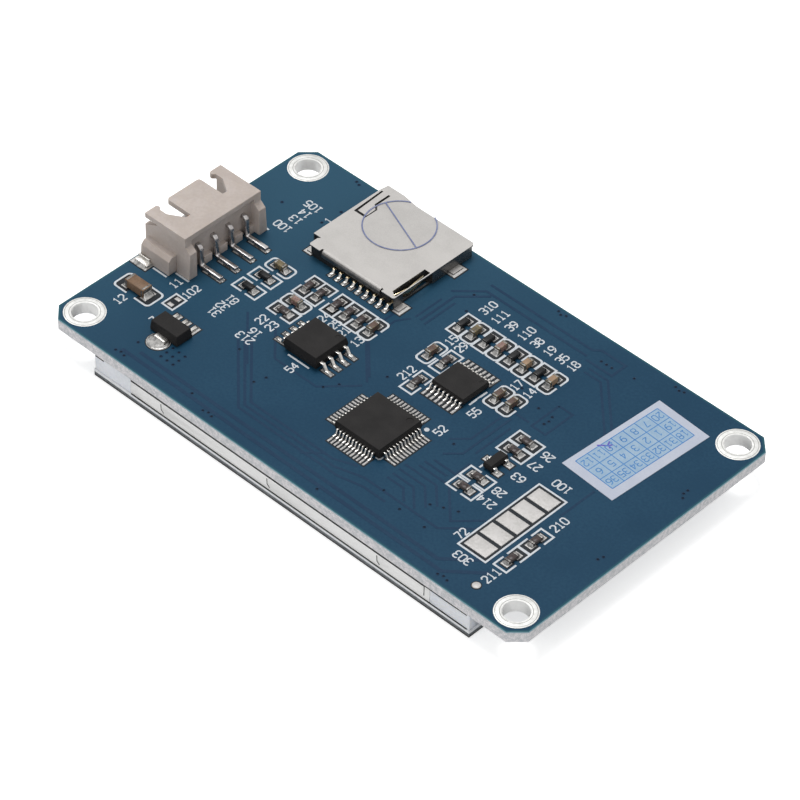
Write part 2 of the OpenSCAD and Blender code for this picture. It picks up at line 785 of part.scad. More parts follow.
// Pin from its chamfered tip back through the housing, down and out along the board
module wire_pin_profile(x_leg, t, r) {
    z = wire_pin_z - plating_t - t / 2;
    polygon([
        [wire_tip, z + t * 0.3], [wire_tip + 0.4, z], [x_leg - t - r, z],
        [x_leg - t - r, z + t], [wire_tip + 0.4, z + t], [wire_tip, z + t * 0.7]
    ]);
    translate([x_leg - t - r, z - r]) bend(r, t);
    rect_between([x_leg - t, t + r], [x_leg, z - r]);
    translate([x_leg + r, t + r]) rotate(180) bend(r, t);
    rect_between([x_leg + r, 0], [wire_foot_end, t]);
}

// L-shaped tab soldered beside each side ledge
module wire_solder_tabs() {
    y0 = wire_w / 2 + wire_ledge_w;
    color("silver") in_wire_frame() for (s = [0, 1]) mirror([0, s, 0]) {
        block([0.45, y0, plating_t], [2.6, y0 + 0.9, plating_t + 0.35]);
        block([0.45, y0, plating_t], [2.3, y0 + 0.25, plating_t + 0.75]);
    }
}

// ---------------------------------------------------------------- card socket

shell_top = z_top + socket_h;

// Solder tabs of the shell: [x of the shell's wall, y, side, length]
function socket_tabs() = [
    [socket_x1, socket_y0 + 10.3, 1, 1.7], [socket_x1, socket_y0 + 0.85, 1, 1.4],
    [socket_x0, socket_y0 + 0.9, -1, 1]
];

module shell_outline() {
    polygon([
        [socket_x0, socket_y0 + 1.75], [socket_x0, socket_y1 - 0.9], [socket_x0 + 0.2, socket_y1 + 0.4],
        [socket_x0 + 3, socket_y1 + 0.4], [socket_x0 + 4.3, socket_y1 + 0.15], [socket_x0 + 5.4, socket_y1],
        [socket_x1 - 0.3, socket_y1], [socket_x1, socket_y1 - 0.3], [socket_x1, socket_y0 + 0.2],
        [socket_x1 - 0.2, socket_y0], [socket_x0 + 1.15, socket_y0], [socket_x0 + 0.95, socket_y0 + 0.2],
        [socket_x0 + 0.95, socket_y0 + 1.4], [socket_x0 + 1.25, socket_y0 + 1.75]
    ]);
}

// Slits that free the card latch finger, and the card switch's window
module shell_cuts() {
    x = socket_x0;
    y = socket_y0;
    polygon([[x + 0.3, y + 13], [x + 0.5, y + 8.05], [x + 2.35, y + 8.05], [x + 2.35, y + 8.4],
             [x + 0.8, y + 8.4], [x + 0.55, y + 13]]);
    polygon([[x + 1.45, y + 13], [x + 1.45, y + 10.6], [x + 2.2, y + 9.95], [x + 2.25, y + 8],
             [x + 2.35, y + 8], [x + 2.4, y + 10.05], [x + 1.75, y + 10.75], [x + 1.75, y + 13]]);
    polygon([[socket_x1 - 1.05, y + 0.95], [socket_x1 - 0.3, y + 0.45], [socket_x1 - 0.15, y + 0.6],
             [socket_x1 - 0.15, y + 6.35], [socket_x1 - 1.05, y + 6.35]]);
    for (nx = [2.85, 12.65]) rect_between([x + nx - 0.13, y - 1], [x + nx + 0.13, y + 0.45]);
}

module socket_shell() {
    color("silver") {
        difference() {
            translate([0, 0, shell_top - shell_t]) linear_extrude(shell_t) shell_outline();
            translate([0, 0, shell_top - 1]) linear_extrude(2) shell_cuts();
            rolled_span(fit) translate([-1, shell_top - 1]) square([1 + shell_roll + shell_t, 2]);
        }
        rolled_span() shell_roll_section();
        shell_walls();
        for (t = socket_tabs()) shell_tab(t);
    }
}

// Section in Y and Z, carried along the front edge between its two notches
module rolled_span(grow = 0) {
    along_x(socket_x0 + 3 - grow, socket_x1 - 2.3 + grow) translate([socket_y0, 0]) children();
}

module shell_roll_section() {
    turn = shell_roll + shell_t;
    translate([turn, shell_top - turn]) mirror([1, 0]) bend(shell_roll, shell_t);
    rect_between([0, shell_top - shell_lip], [shell_t, shell_top - turn]);
}

module shell_walls() {
    z0 = z_top + 0.1;
    z1 = shell_top - shell_t;
    block([socket_x0, socket_y0 + 1.75, z0], [socket_x0 + shell_t, socket_y1 - 0.9, z1]);
    block([socket_x1 - shell_t, socket_y0 + 6.6, z0], [socket_x1, socket_y1 - 0.5, z1]);
}

module shell_tab(t) {
    z0 = z_pad;
    x0 = t[2] > 0 ? t[0] - shell_t : t[0];
    wall = t[2] > 0 ? [t[0] - shell_t, t[0]] : [t[0] + 0.95, t[0] + 0.95 + shell_t];
    foot = t[2] > 0 ? [wall[0], wall[1] + 0.7] : [wall[0] - 0.7, wall[1]];
    block([wall[0], t[1] - t[3] / 2, z0], [wall[1], t[1] + t[3] / 2, shell_top - shell_t]);
    block([foot[0], t[1] - t[3] / 2, z0], [foot[1], t[1] + t[3] / 2, z0 + shell_t]);
}

module socket_base() {
    x0 = socket_x0 + shell_t + fit;
    x1 = socket_x1 - shell_t - fit;
    y0 = socket_y0 + shell_t + fit;
    y1 = socket_y1 - 0.7;
    top = shell_top - shell_t;
    color([0.1, 0.1, 0.11]) difference() {
        block([x0, y0, z_top], [x1, y1, top]);
        block([x0 - 1, y0 - 1, z_top - 1], [socket_x0 + 1.15 + fit, socket_y0 + 1.75 + fit, top + 1]);
        rolled_span(fit) translate([-1, top - shell_roll - fit]) square([1 + shell_t + shell_roll + fit, 1]);
        block([card_x0, card_wall_y, z_top + card_z], [card_x1, y1 + 1, top + 1]);
        block([card_x1 + 0.1, socket_y0 + 0.6, z_top + card_floor_t], [x1 + 1, socket_y0 + 6.6, top + 1]);
        for (i = [0:card_contacts_n - 1])
            block([contact_x(i) - contact_w / 2 - fit, y0 - 1, z_top - 1],
                  [contact_x(i) + contact_w / 2 + fit, card_wall_y + 5.2, z_top + card_z + eps]);
        for (t = socket_tabs())
            block([t[0] - 1.4 * max(t[2], 0) * 0.4 - 0.4, t[1] - t[3] / 2 - fit, z_top - 1],
                  [t[0] + (t[2] < 0 ? 1.4 : 1), t[1] + t[3] / 2 + fit, top + 1]);
    }
}

// Springs: a soldered tail, a flat root and a raised contact bump
module card_contacts() {
    t = contact_t;
    rise = card_z - plating_t + 0.25;
    color("gold") for (i = [0:card_contacts_n - 2]) translate([contact_x(i), socket_y0, z_pad])
        rotate(90) along_y(contact_w) {
            contact_tail(1.4);
            polygon([
                [1.4, tail_shoulder - t], [4.6, rise - t], [5.3, rise - t], [6.1, rise * 0.4],
                [6.2, rise * 0.4 + t], [5.4, rise], [4.5, rise], [1.4, tail_shoulder]
            ]);
        }
}

// Profile of a tail: its foot, its sloped leg and the flat that runs into the base
module contact_tail(root) {
    t = contact_t;
    polygon([
        [-tail_reach, 0], [-0.36, 0], [-0.08, tail_shoulder - t], [root, tail_shoulder - t],
        [root, tail_shoulder], [-0.2, tail_shoulder], [-0.46, t], [-tail_reach, t]
    ]);
}

// Switch that the card presses: a soldered tail, and a leaf in the window beside the slot
module card_switch() {
    t = contact_t;
    bow = 0.35;
    root = [0.75, 1.2];
    color("gold") translate([contact_x(card_contacts_n - 1), socket_y0, z_pad]) {
        rotate(90) along_y(contact_w) contact_tail(root[1]);
        translate([0, 0, card_floor_t]) linear_extrude(socket_h - shell_t - 2 * card_floor_t) polygon([
            [-t, root[0]], [0, root[0]], [bow, 3], [0, 5.9], [-t, 5.9], [bow - t, 3]
        ]);
    }
}

// ---------------------------------------------------------------- chips

lead_t = 0.15;
controller_z = 0.75;     // height of the leads' band above the board
lead_reach = 1;
buffer_w = 4.4;
buffer_n = 8;
memory_n = 4;
regulator_w = 2.5;
regulator_lead_t = 0.36;
transistor_size = [1.3, 2.9, 1];
standoff = 0.1;
dimple = 0.06;           // depth of the mark by each chip's first pin

module at_controller_leads() {
    for (q = [0:3], i = [-5.5:5.5]) rotate(q * 90) translate([controller_w / 2, i * 0.5, 0]) children();
}

module at_buffer_leads() {
    for (s = [90, 270], i = [-3.5:3.5]) rotate(s) translate([buffer_w / 2, i * 0.65, 0]) children();
}

module at_memory_leads() {
    for (s = [0, 180], i = [-1.5:1.5]) rotate(s) translate([memory_w / 2, i * 1.27, 0]) children();
}

module controller_body() {
    color([0.16, 0.16, 0.17]) place(controller_at, z_top) difference() {
        moulded_body(controller_w, controller_w, standoff, controller_h - standoff,
                     controller_z, lead_t, 0.12);
        translate([controller_w / 2 - 1, controller_w / 2 - 1, controller_h - dimple])
            cylinder(r = 0.45, h = 1);
    }
}

module controller_leads() {
    color("silver") place(controller_at, z_pad) at_controller_leads()
        gull_lead(lead_reach, controller_z - plating_t, lead_t, 0.22, 0.5);
}

module buffer_body() {
    color([0.16, 0.16, 0.17]) place(buffer_at, z_top) difference() {
        moulded_body(buffer_l, buffer_w, standoff, buffer_h - standoff, buffer_lead_z, lead_t, 0.1);
        translate([buffer_l / 2 - 0.6, buffer_w / 2 - 0.7, buffer_h - dimple]) cylinder(r = 0.25, h = 1);
    }
}

module buffer_leads() {
    color("silver") place(buffer_at, z_pad) at_buffer_leads()
        gull_lead(lead_reach, buffer_lead_z - plating_t, lead_t, 0.24, 0.5);
}

module memory_body() {
    color([0.16, 0.16, 0.17]) place(memory_at, z_top) difference() {
        moulded_body(memory_w, memory_w, standoff, memory_h - standoff, memory_lead_z, 0.2, 0.16);
        translate([memory_w / 2 - 0.9, memory_w / 2 - 0.8, memory_h - dimple]) cylinder(r = 0.35, h = 1);
    }
}

module memory_leads() {
    color("silver") place(memory_at, z_pad) at_memory_leads()
        gull_lead(memory_lead_reach, memory_lead_z - plating_t, 0.2, 0.42, 0.65);
}

module regulator_body() {
    color([0.16, 0.16, 0.17]) place(regulator_at, z_pad)
        moulded_body(regulator_l, regulator_w, 0, 1.45, regulator_lead_t / 2, regulator_lead_t, 0.12);
}

module regulator_leads() {
    color("silver") place(regulator_at, z_pad) {
        for (i = [-1:1])
            translate([i * regulator_pitch - 0.22, regulator_w / 2, 0]) cube([0.44, 1.3, regulator_lead_t]);
        translate([-0.85, -regulator_w / 2 - 0.7, 0]) cube([1.7, 0.7, regulator_lead_t]);
    }
}

module transistor_body() {
    s = transistor_size;
    color([0.16, 0.16, 0.17]) place(transistor_at, z_top)
        moulded_body(s[0], s[1], standoff, s[2] - standoff, 0.55, lead_t, 0.1);
}

module transistor_leads() {
    color("silver") place(transistor_at, z_pad) {
        for (q = [[0, -0.95], [0, 0.95], [180, 0]])
            rotate(q[0]) translate([transistor_size[0] / 2, q[1], 0])
                gull_lead(0.6, 0.55 - plating_t, lead_t, 0.42, 0.3);
    }
}

module capacitor(i) {
    color("peru") place(CAPACITORS[i], z_pad) chip_part(chip_l, chip_w, capacitor_h, 0.35);
}

module resistors(i) {
    color([0.13, 0.13, 0.14])
        for (p = RESISTORS[i]) place(p, z_pad) chip_part(chip_l, chip_w, resistor_h, 0.3);
}

module diodes() {
    color([0.13, 0.13, 0.14]) for (p = DIODES) place(p, z_pad) chip_part(chip_l, chip_w, diode_h, 0.3);
}

module bulk_capacitor() {
    color("peru") place(bulk_at, z_pad) chip_part(bulk_l, bulk_w, bulk_h, 0.6);
}

// ---------------------------------------------------------------- labels

module date_label() {
    color("lavender") translate([label_at[0], label_at[1], z_top])
        rotate(label_turn) translate([-label_size[0] / 2, -label_size[1] / 2, 0])
            cube([label_size[0], label_size[1], 0.06]);
}

// Round paper seal on the shell, cut off where it meets the shell's mouth
module inspection_seal() {
    color("lavenderblush") translate([0, 0, shell_top]) linear_extrude(0.05) intersection() {
        translate(seal_at) circle(seal_r);
        shell_outline();
    }
}

// ---------------------------------------------------------------- nodes

touch_film();
touch_glass();
touch_tail();
panel_gasket();
front_polariser();
cell_front_glass();
cell_rear_glass();
rear_polariser();
driver_chip();
display_ribbon();
light_frame();
diffuser_sheets();
light_guide();
backlight_leds();
reflector_sheet();
steel_tray();
mounting_tape();
circuit_board();
hole_plating();
solder_pads();
printed_outlines();
wire_housing();
wire_pins();
wire_solder_tabs();
socket_base();
socket_shell();
card_contacts();
card_switch();
controller_body();
controller_leads();
buffer_body();
buffer_leads();
memory_body();
memory_leads();
regulator_body();
regulator_leads();
transistor_body();
transistor_leads();
bulk_capacitor();
diodes();
date_label();
inspection_seal();
for (i = [0:len(CAPACITORS) - 1])
    capacitor(i);
for (i = [0:len(RESISTORS) - 1])
    resistors(i);
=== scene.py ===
import logging
import math
from dataclasses import dataclass, field
from enum import Enum
from typing import Callable, Iterable, Optional, Sequence, Union

import bmesh
import bpy
from mathutils import Matrix, Vector


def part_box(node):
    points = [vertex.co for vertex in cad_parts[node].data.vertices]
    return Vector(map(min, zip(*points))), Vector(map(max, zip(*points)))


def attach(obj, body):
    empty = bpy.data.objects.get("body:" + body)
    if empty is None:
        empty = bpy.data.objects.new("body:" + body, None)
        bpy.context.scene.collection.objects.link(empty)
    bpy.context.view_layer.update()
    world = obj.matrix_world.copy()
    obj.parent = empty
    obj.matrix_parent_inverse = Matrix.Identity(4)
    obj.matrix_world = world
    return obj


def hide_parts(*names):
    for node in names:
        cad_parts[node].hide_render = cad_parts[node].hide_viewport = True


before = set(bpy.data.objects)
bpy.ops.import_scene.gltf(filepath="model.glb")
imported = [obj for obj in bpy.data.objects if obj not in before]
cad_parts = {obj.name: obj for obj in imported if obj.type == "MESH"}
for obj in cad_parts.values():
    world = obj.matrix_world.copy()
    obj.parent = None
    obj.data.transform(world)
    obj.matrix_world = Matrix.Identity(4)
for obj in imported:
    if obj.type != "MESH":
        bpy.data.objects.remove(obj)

LOG = logging.getLogger("display_module")
MM = 0.001
BODY = "root"
LAYER = 0.0008 * MM
LAYERS = 12
COAT_ROUGHNESS = 0.08
GLOW_SPREAD = (1.0, 0.85, 0.6)
Point = tuple[float, float]
Colour = tuple[float, float, float]
Socket = bpy.types.NodeSocket
Material = bpy.types.Material
Piece = bpy.types.Object


# ---------------------------------------------------------------- frame


@dataclass(frozen=True)
class Box:
    """An upright box in the row frame, in metres."""

    low: Vector
    high: Vector
    round: bool = False

    @classmethod
    def of(cls, node: str) -> "Box":
        """The box of a whole CAD node."""
        low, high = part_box(node)
        return cls(low, high)

    @property
    def centre(self) -> Vector:
        """The middle of the box."""
        return (self.low + self.high) / 2

    @property
    def size(self) -> Vector:
        """The box's three lengths."""
        return self.high - self.low

    @property
    def along_y(self) -> bool:
        """Whether the box is longer in Y than in X."""
        return self.size.y > self.size.x


def node_mesh(node: str, weld: float = 0.0004 * MM) -> bmesh.types.BMesh:
    """Copies a CAD node's mesh and joins its split corners and flat faces.

    Args:
        node: the CAD node's name.
        weld: the distance under which two corners are one, in metres.

    Returns:
        A new bmesh, which the caller frees.
    """
    bm = bmesh.new()
    bm.from_mesh(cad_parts[node].data)
    bmesh.ops.remove_doubles(bm, verts=bm.verts, dist=weld)
    bmesh.ops.dissolve_limit(
        bm, angle_limit=math.radians(0.4), verts=bm.verts, edges=bm.edges
    )
    return bm


def solids_of(node: str) -> list[Box]:
    """Finds the separate solids of a CAD node.

    Args:
        node: the CAD node's name.

    Returns:
        One box for each solid, in the order of their place in X and then Y.
    """
    bm = node_mesh(node)
    seen: set[int] = set()
    boxes = []
    for first in bm.verts:
        if first.index in seen:
            continue
        seen.add(first.index)
        stack, points = [first], []
        while stack:
            vert = stack.pop()
            points.append(vert.co)
            for edge in vert.link_edges:
                other = edge.other_vert(vert)
                if other.index not in seen:
                    seen.add(other.index)
                    stack.append(other)
        low = Vector([min(p[i] for p in points) for i in range(3)])
        high = Vector([max(p[i] for p in points) for i in range(3)])
        reach = min(high.x - low.x, high.y - low.y) * 0.1
        cornered = any(
            min(p.x - low.x, high.x - p.x) < reach and min(p.y - low.y, high.y - p.y) < reach
            for p in points
        )
        boxes.append(Box(low, high, not cornered))
    bm.free()
    return sorted(boxes, key=lambda b: (round(b.centre.x, 5), round(b.centre.y, 5)))


BOARD = Box.of("circuit_board")
BOARD_TOP = BOARD.high.z


# ---------------------------------------------------------------- finishes


class Graph:
    """A short way to add and join shader nodes."""

    def __init__(self, tree: bpy.types.NodeTree) -> None:
        """Takes the node tree to fill."""
        self.tree = tree

    def add(
        self,
        kind: str,
        inputs: Optional[dict[Union[str, int], object]] = None,
        output: Union[str, int] = 0,
        **settings: object,
    ) -> Socket:
        """Adds one node.

        Args:
            kind: the node's type name.
            inputs: a value or a socket for each input, by name or place.
            output: the output to return, by name or place.
            settings: the node's own properties.

        Returns:
            The chosen output socket.
        """
        node = self.tree.nodes.new(kind)
        for name, value in settings.items():
            setattr(node, name, value)
        for name, value in (inputs or {}).items():
            if isinstance(value, bpy.types.NodeSocket):
                self.tree.links.new(value, node.inputs[name])
            else:
                node.inputs[name].default_value = value
        return node.outputs[output]

    def show(self, shader: Socket, kind: str = "ShaderNodeOutputMaterial") -> None:
        """Joins the finished shader to the tree's output."""
        node = self.tree.nodes.new(kind)
        self.tree.links.new(shader, node.inputs["Surface"])

    def maths(self, operation: str, first: object, second: object = 0.0) -> Socket:
        """One arithmetic step on two values or sockets."""
        return self.add("ShaderNodeMath", {0: first, 1: second}, operation=operation)

    def ranged(self, value: Socket, low: float, high: float, to_low: float, to_high: float) -> Socket:
        """Maps a value from one range to another, smoothly and within its ends.

        Args:
            value: the value to map.
            low: the start of its range.
            high: the end of its range.
            to_low: the result at the start.
            to_high: the result at the end.

        Returns:
            The mapped value's socket.
        """
        return self.add(
            "ShaderNodeMapRange",
            {"Value": value, 1: low, 2: high, 3: to_low, 4: to_high},
            interpolation_type="SMOOTHSTEP",
        )

    def blended(self, factor: object, first: object, second: object) -> Socket:
        """Mixes two colours.

        Args:
            factor: the share of the second colour.
            first: the first colour.
            second: the second colour.

        Returns:
            The mixed colour's socket.
        """
        return self.add(
            "ShaderNodeMix",
            {"Factor": factor, 6: first, 7: second},
            output=2,
            data_type="RGBA",
        )

    def place(self) -> Socket:
        """The point's place on the object, in metres."""
        return self.add("ShaderNodeTexCoord", output="Object")

    def axes(self, place: Socket) -> tuple[Socket, Socket, Socket]:
        """Splits a place into its X, Y and Z.

        Args:
            place: the point's place.

        Returns:
            The three sockets.
        """
        split = self.tree.nodes.new("ShaderNodeSeparateXYZ")
        self.tree.links.new(place, split.inputs[0])
        return split.outputs[0], split.outputs[1], split.outputs[2]

    def noise(self, vector: Socket, scale: float, detail: float = 4.0, roughness: float = 0.55) -> Socket:
        """Makes soft noise.

        Args:
            vector: the point's place.
            scale: its waves per metre.
            detail: how many finer layers it has.
            roughness: how strong each finer layer is.

        Returns:
            The noise's socket, from 0 to 1.
        """
        return self.add(
            "ShaderNodeTexNoise",
            {"Vector": vector, "Scale": scale, "Detail": detail, "Roughness": roughness},
        )


class Grain(Enum):
    """The fine relief of a surface, as a stretch of its noise along X, Y and Z."""

    EVEN = (1.0, 1.0, 1.0)
    ROLLED_X = (0.05, 1.0, 1.0)
    ROLLED_Y = (1.0, 0.05, 1.0)


@dataclass(frozen=True)
class Finish:
    """One material: a base colour with a second tint, a grain and a gloss."""

    name: str
    colour: Colour
    tint: Colour
    roughness: float = 0.5
    rough_spread: float = 0.08
    metallic: float = 0.0
    specular: float = 0.4
    grain: Grain = Grain.EVEN
    grain_mm: float = 0.3
    patch_mm: float = 4.0
    relief_um: float = 4.0
    coat: float = 0.0
    glow: float = 0.0
    glow_mm: float = 0.4
    clear: float = 0.0

    def colours(self, graph: Graph, place: Socket) -> Socket:
        """Makes the colour, as patches of tint over the base.

        Args:
            graph: the node tree being filled.
            place: the point's place.

        Returns:
            The colour socket.
        """
        patches = graph.noise(place, 1 / (self.patch_mm * MM), 3.0)
        specks = graph.noise(place, 1 / (self.grain_mm * MM), 2.0)
        share = graph.maths("MULTIPLY", patches, graph.ranged(specks, 0.2, 0.8, 0.6, 1.4))
        factor = graph.ranged(share, 0.25, 0.8, 0.0, 1.0)
        return graph.blended(factor, (*self.colour, 1), (*self.tint, 1))

    def relief(self, graph: Graph, place: Socket) -> Socket:
        """Makes the height of the grain.

        Args:
            graph: the node tree being filled.
            place: the point's place.

        Returns:
            The height's socket, from 0 to 1.
        """
        stretched = graph.add(
            "ShaderNodeMapping", {"Vector": place, "Scale": self.grain.value}
        )
        return graph.noise(stretched, 1 / (self.grain_mm * MM), 5.0, 0.6)

    def gloss(self, graph: Graph, place: Socket, height: Socket) -> Socket:
        """Makes the roughness, which wanders with patches and with the grain.

        Args:
            graph: the node tree being filled.
            place: the point's place.
            height: the grain's height.

        Returns:
            The roughness socket.
        """
        smudges = graph.noise(place, 0.6 / (self.patch_mm * MM), 4.0, 0.65)
        wide = graph.maths("MULTIPLY", smudges, 0.7)
        both = graph.maths("ADD", wide, graph.maths("MULTIPLY", height, 0.3))
        low = max(0.03, self.roughness - self.rough_spread)
        return graph.ranged(both, 0.25, 0.75, low, self.roughness + self.rough_spread)

    def material(self) -> Material:
        """Builds the material once and returns it after that.

        Returns:
            The finished material.
        """
        title = f"{self.name}_finish"
        found = bpy.data.materials.get(title)
        if found:
            return found
        made = bpy.data.materials.new(title)
        made.use_nodes = True
        made.node_tree.nodes.clear()
        graph = Graph(made.node_tree)
        place = graph.place()
        height = self.relief(graph, place)
        bump = graph.add(
            "ShaderNodeBump",
            {"Strength": 1.0, "Distance": self.relief_um * 1e-6, "Height": height},
        )
        inputs: dict[Union[str, int], object] = {
            "Base Color": self.colours(graph, place),
            "Roughness": self.gloss(graph, place, height),
            "Normal": bump,
            "Metallic": self.metallic,
            "Specular IOR Level": self.specular,
        }
        if self.coat:
            inputs["Coat Weight"] = self.coat
            inputs["Coat Roughness"] = COAT_ROUGHNESS
        if self.glow:
            inputs["Subsurface Weight"] = self.glow
            inputs["Subsurface Radius"] = GLOW_SPREAD
            inputs["Subsurface Scale"] = self.glow_mm * MM
        if self.clear:
            inputs["Alpha"] = 1 - self.clear
        shader = graph.add("ShaderNodeBsdfPrincipled", inputs)
        graph.show(shader)
        return made


@dataclass(frozen=True)
class MaskFinish(Finish):
    """Solder mask: thinner and greener along the board's edges, with painted light that makes it paler toward one
    end.
    """

    rim: Colour = (0.03, 0.125, 0.145)
    pale: Colour = (0.026, 0.088, 0.142)
    rim_mm: float = 0.4
    corner_mm: float = 1.75

    def colours(self, graph: Graph, place: Socket) -> Socket:
        """Adds the painted light at one end and the green rim to the patches.

        Args:
            graph: the node tree being filled.
            place: the point's place.

        Returns:
            The colour socket.
        """
        base = super().colours(graph, place)
        along, across, _ = graph.axes(place)
        # painted light: the mask turns paler toward one end, as if lit more strongly there
        slant = graph.maths("SUBTRACT", graph.maths("MULTIPLY", across, 0.8), along)
        end = graph.ranged(slant, -0.01, 0.055, 0.0, 0.8)
        base = graph.blended(end, base, (*self.pale, 1))
        reach_x = graph.maths("SUBTRACT", graph.maths("ABSOLUTE", along), BOARD.high.x)
        reach_y = graph.maths("SUBTRACT", graph.maths("ABSOLUTE", across), BOARD.high.y)
        sum_xy = graph.maths("ADD", reach_x, reach_y)
        corner = graph.maths("MULTIPLY", graph.maths("ADD", sum_xy, self.corner_mm * MM), 0.7071)
        edge = graph.maths("MAXIMUM", graph.maths("MAXIMUM", reach_x, reach_y), corner)
        return graph.blended(
            graph.ranged(edge, -self.rim_mm * MM, -0.05 * MM, 0.0, 0.75), base, (*self.rim, 1)
        )


@dataclass(frozen=True)
class EdgeFinish(Finish):
    """Cut laminate: pale glass cloth with a line of blue mask along its upper edge."""

    band: Colour = (0.10, 0.27, 0.34)
    band_mm: float = 0.26

    def colours(self, graph: Graph, place: Socket) -> Socket:
        """Lays the blue line over the speckled cut.

        Args:
            graph: the node tree being filled.
            place: the point's place.

        Returns:
            The colour socket.
        """
        base = super().colours(graph, place)
        height = graph.axes(place)[2]
        share = graph.ranged(height, BOARD_TOP - self.band_mm * MM, BOARD_TOP, 0.0, 0.9)
        return graph.blended(share, base, (*self.band, 1))


@dataclass(frozen=True)
class StripedFinish(Finish):
    """Flexible circuit: amber film over a row of copper tracks along X."""

    pitch_mm: float = 1.0

    def colours(self, graph: Graph, place: Socket) -> Socket:
        """Lays darker tracks across the film's width.

        Args:
            graph: the node tree being filled.
            place: the point's place.

        Returns:
            The colour socket.
        """
        base = super().colours(graph, place)
        across = graph.axes(place)[1]
        turns = graph.maths("MULTIPLY", across, 2 * math.pi / (self.pitch_mm * MM))
        wave = graph.maths("SINE", turns)
        return graph.blended(graph.ranged(wave, -0.2, 0.3, 0.0, 0.7), base, (*self.tint, 1))


@dataclass(frozen=True)
class WindowFinish(Finish):
    """Touch face: a printed border round a dark viewing window."""

    window: Colour = (0.035, 0.04, 0.045)
    margins_mm: tuple[float, float, float, float] = (5.4, 3.2, 3.0, 3.0)

    def colours(self, graph: Graph, place: Socket) -> Socket:
        """Mixes the border and the window by their place on the face.

        Args:
            graph: the node tree being filled.
            place: the point's place.

        Returns:
            The colour socket.
        """
        border = super().colours(graph, place)
        along, across, _ = graph.axes(place)
        face = Box.of("touch_film")
        left, right, near, far = (m * MM for m in self.margins_mm)
        gaps = [
            graph.maths("SUBTRACT", along, face.low.x + left),
            graph.maths("SUBTRACT", face.high.x - right, along),
            graph.maths("SUBTRACT", across, face.low.y + near),
            graph.maths("SUBTRACT", face.high.y - far, across),
        ]
        inside = gaps[0]
        for gap in gaps[1:]:
            inside = graph.maths("MINIMUM", inside, gap)
        factor = graph.ranged(inside, -0.03 * MM, 0.03 * MM, 0.0, 1.0)
        return graph.blended(factor, border, (*self.window, 1))


MASK = MaskFinish(
    "solder_mask", (0.0085, 0.047, 0.094), (0.013, 0.058, 0.110), roughness=0.42, specular=0.1,
    rough_spread=0.06, grain_mm=0.35, patch_mm=9.0, relief_um=1.2,
)
MASK_OVER_COPPER = Finish(
    "mask_over_copper", (0.0105, 0.038, 0.083), (0.0145, 0.047, 0.096), roughness=0.42, specular=0.1,
    grain_mm=0.35, patch_mm=6.0, relief_um=1.0,
)
LAMINATE = EdgeFinish(
    "laminate_edge", (0.54, 0.56, 0.58), (0.86, 0.83, 0.85), roughness=0.6, specular=0.3,
    grain=Grain.ROLLED_X, grain_mm=0.12, patch_mm=0.45, relief_um=12.0,
)
BARE_LAMINATE = Finish(
    "bare_laminate", (0.006, 0.009, 0.013), (0.014, 0.02, 0.026), roughness=0.55, specular=0.2,
    grain_mm=0.15, patch_mm=1.5, relief_um=3.0,
)
VIA = Finish(
    "plugged_via", (0.001, 0.006, 0.016), (0.003, 0.012, 0.028), roughness=0.5, specular=0.08,
    grain_mm=0.2, patch_mm=1.0, relief_um=3.0,
)
INK = Finish(
    "printed_ink", (0.72, 0.75, 0.78), (0.56, 0.60, 0.64), roughness=0.6, specular=0.25,
    grain_mm=0.18, patch_mm=0.8, relief_um=6.0,
)
TINNED_PAD = Finish(
    "tinned_pad", (0.52, 0.505, 0.495), (0.45, 0.44, 0.425), roughness=0.5, metallic=0.3,
    rough_spread=0.1, grain_mm=0.35, patch_mm=1.6, relief_um=3.0,
)
SOLDER = Finish(
    "solder_joint", (0.46, 0.45, 0.435), (0.16, 0.16, 0.157), roughness=0.27, metallic=0.9,
    rough_spread=0.1, grain_mm=0.5, patch_mm=0.8, relief_um=5.0,
)
RING = Finish(
    "hole_ring", (0.80, 0.80, 0.78), (0.66, 0.66, 0.64), roughness=0.5, metallic=0.3,
    rough_spread=0.12, grain_mm=0.5, patch_mm=1.1, relief_um=3.0,
)
# painted reflection: a brighter copy of the rings' plating for the holes' walls
RING_WALL_SHEEN = Finish(
    "hole_wall_painted_sheen", (0.99, 0.99, 0.98), (0.95, 0.95, 0.94), roughness=0.5, metallic=0.6,
    rough_spread=0.1, grain_mm=0.4, patch_mm=1.4, relief_um=4.0,
)
RING_LINE = Finish(
    "ring_line", (0.30, 0.30, 0.29), (0.42, 0.42, 0.40), roughness=0.5, metallic=0.3,
    rough_spread=0.1, grain_mm=0.3, patch_mm=0.7, relief_um=3.0,
)
LEAD = Finish(
    "tinned_lead", (0.68, 0.665, 0.635), (0.46, 0.44, 0.41), roughness=0.27, metallic=0.9,
    rough_spread=0.08, grain_mm=0.4, patch_mm=0.7, relief_um=0.8,
)
PIN = Finish(
    "tinned_pin", (0.52, 0.50, 0.49), (0.36, 0.34, 0.34), roughness=0.27, metallic=0.95,
    rough_spread=0.06, grain=Grain.ROLLED_X, grain_mm=0.5, patch_mm=1.2, relief_um=0.6,
)
NYLON = Finish(
    "ivory_nylon", (0.50, 0.432, 0.39), (0.55, 0.485, 0.445), roughness=0.42, specular=0.35,
    rough_spread=0.07, grain_mm=0.35, patch_mm=3.0, relief_um=4.0, glow=0.25, glow_mm=0.5,
)
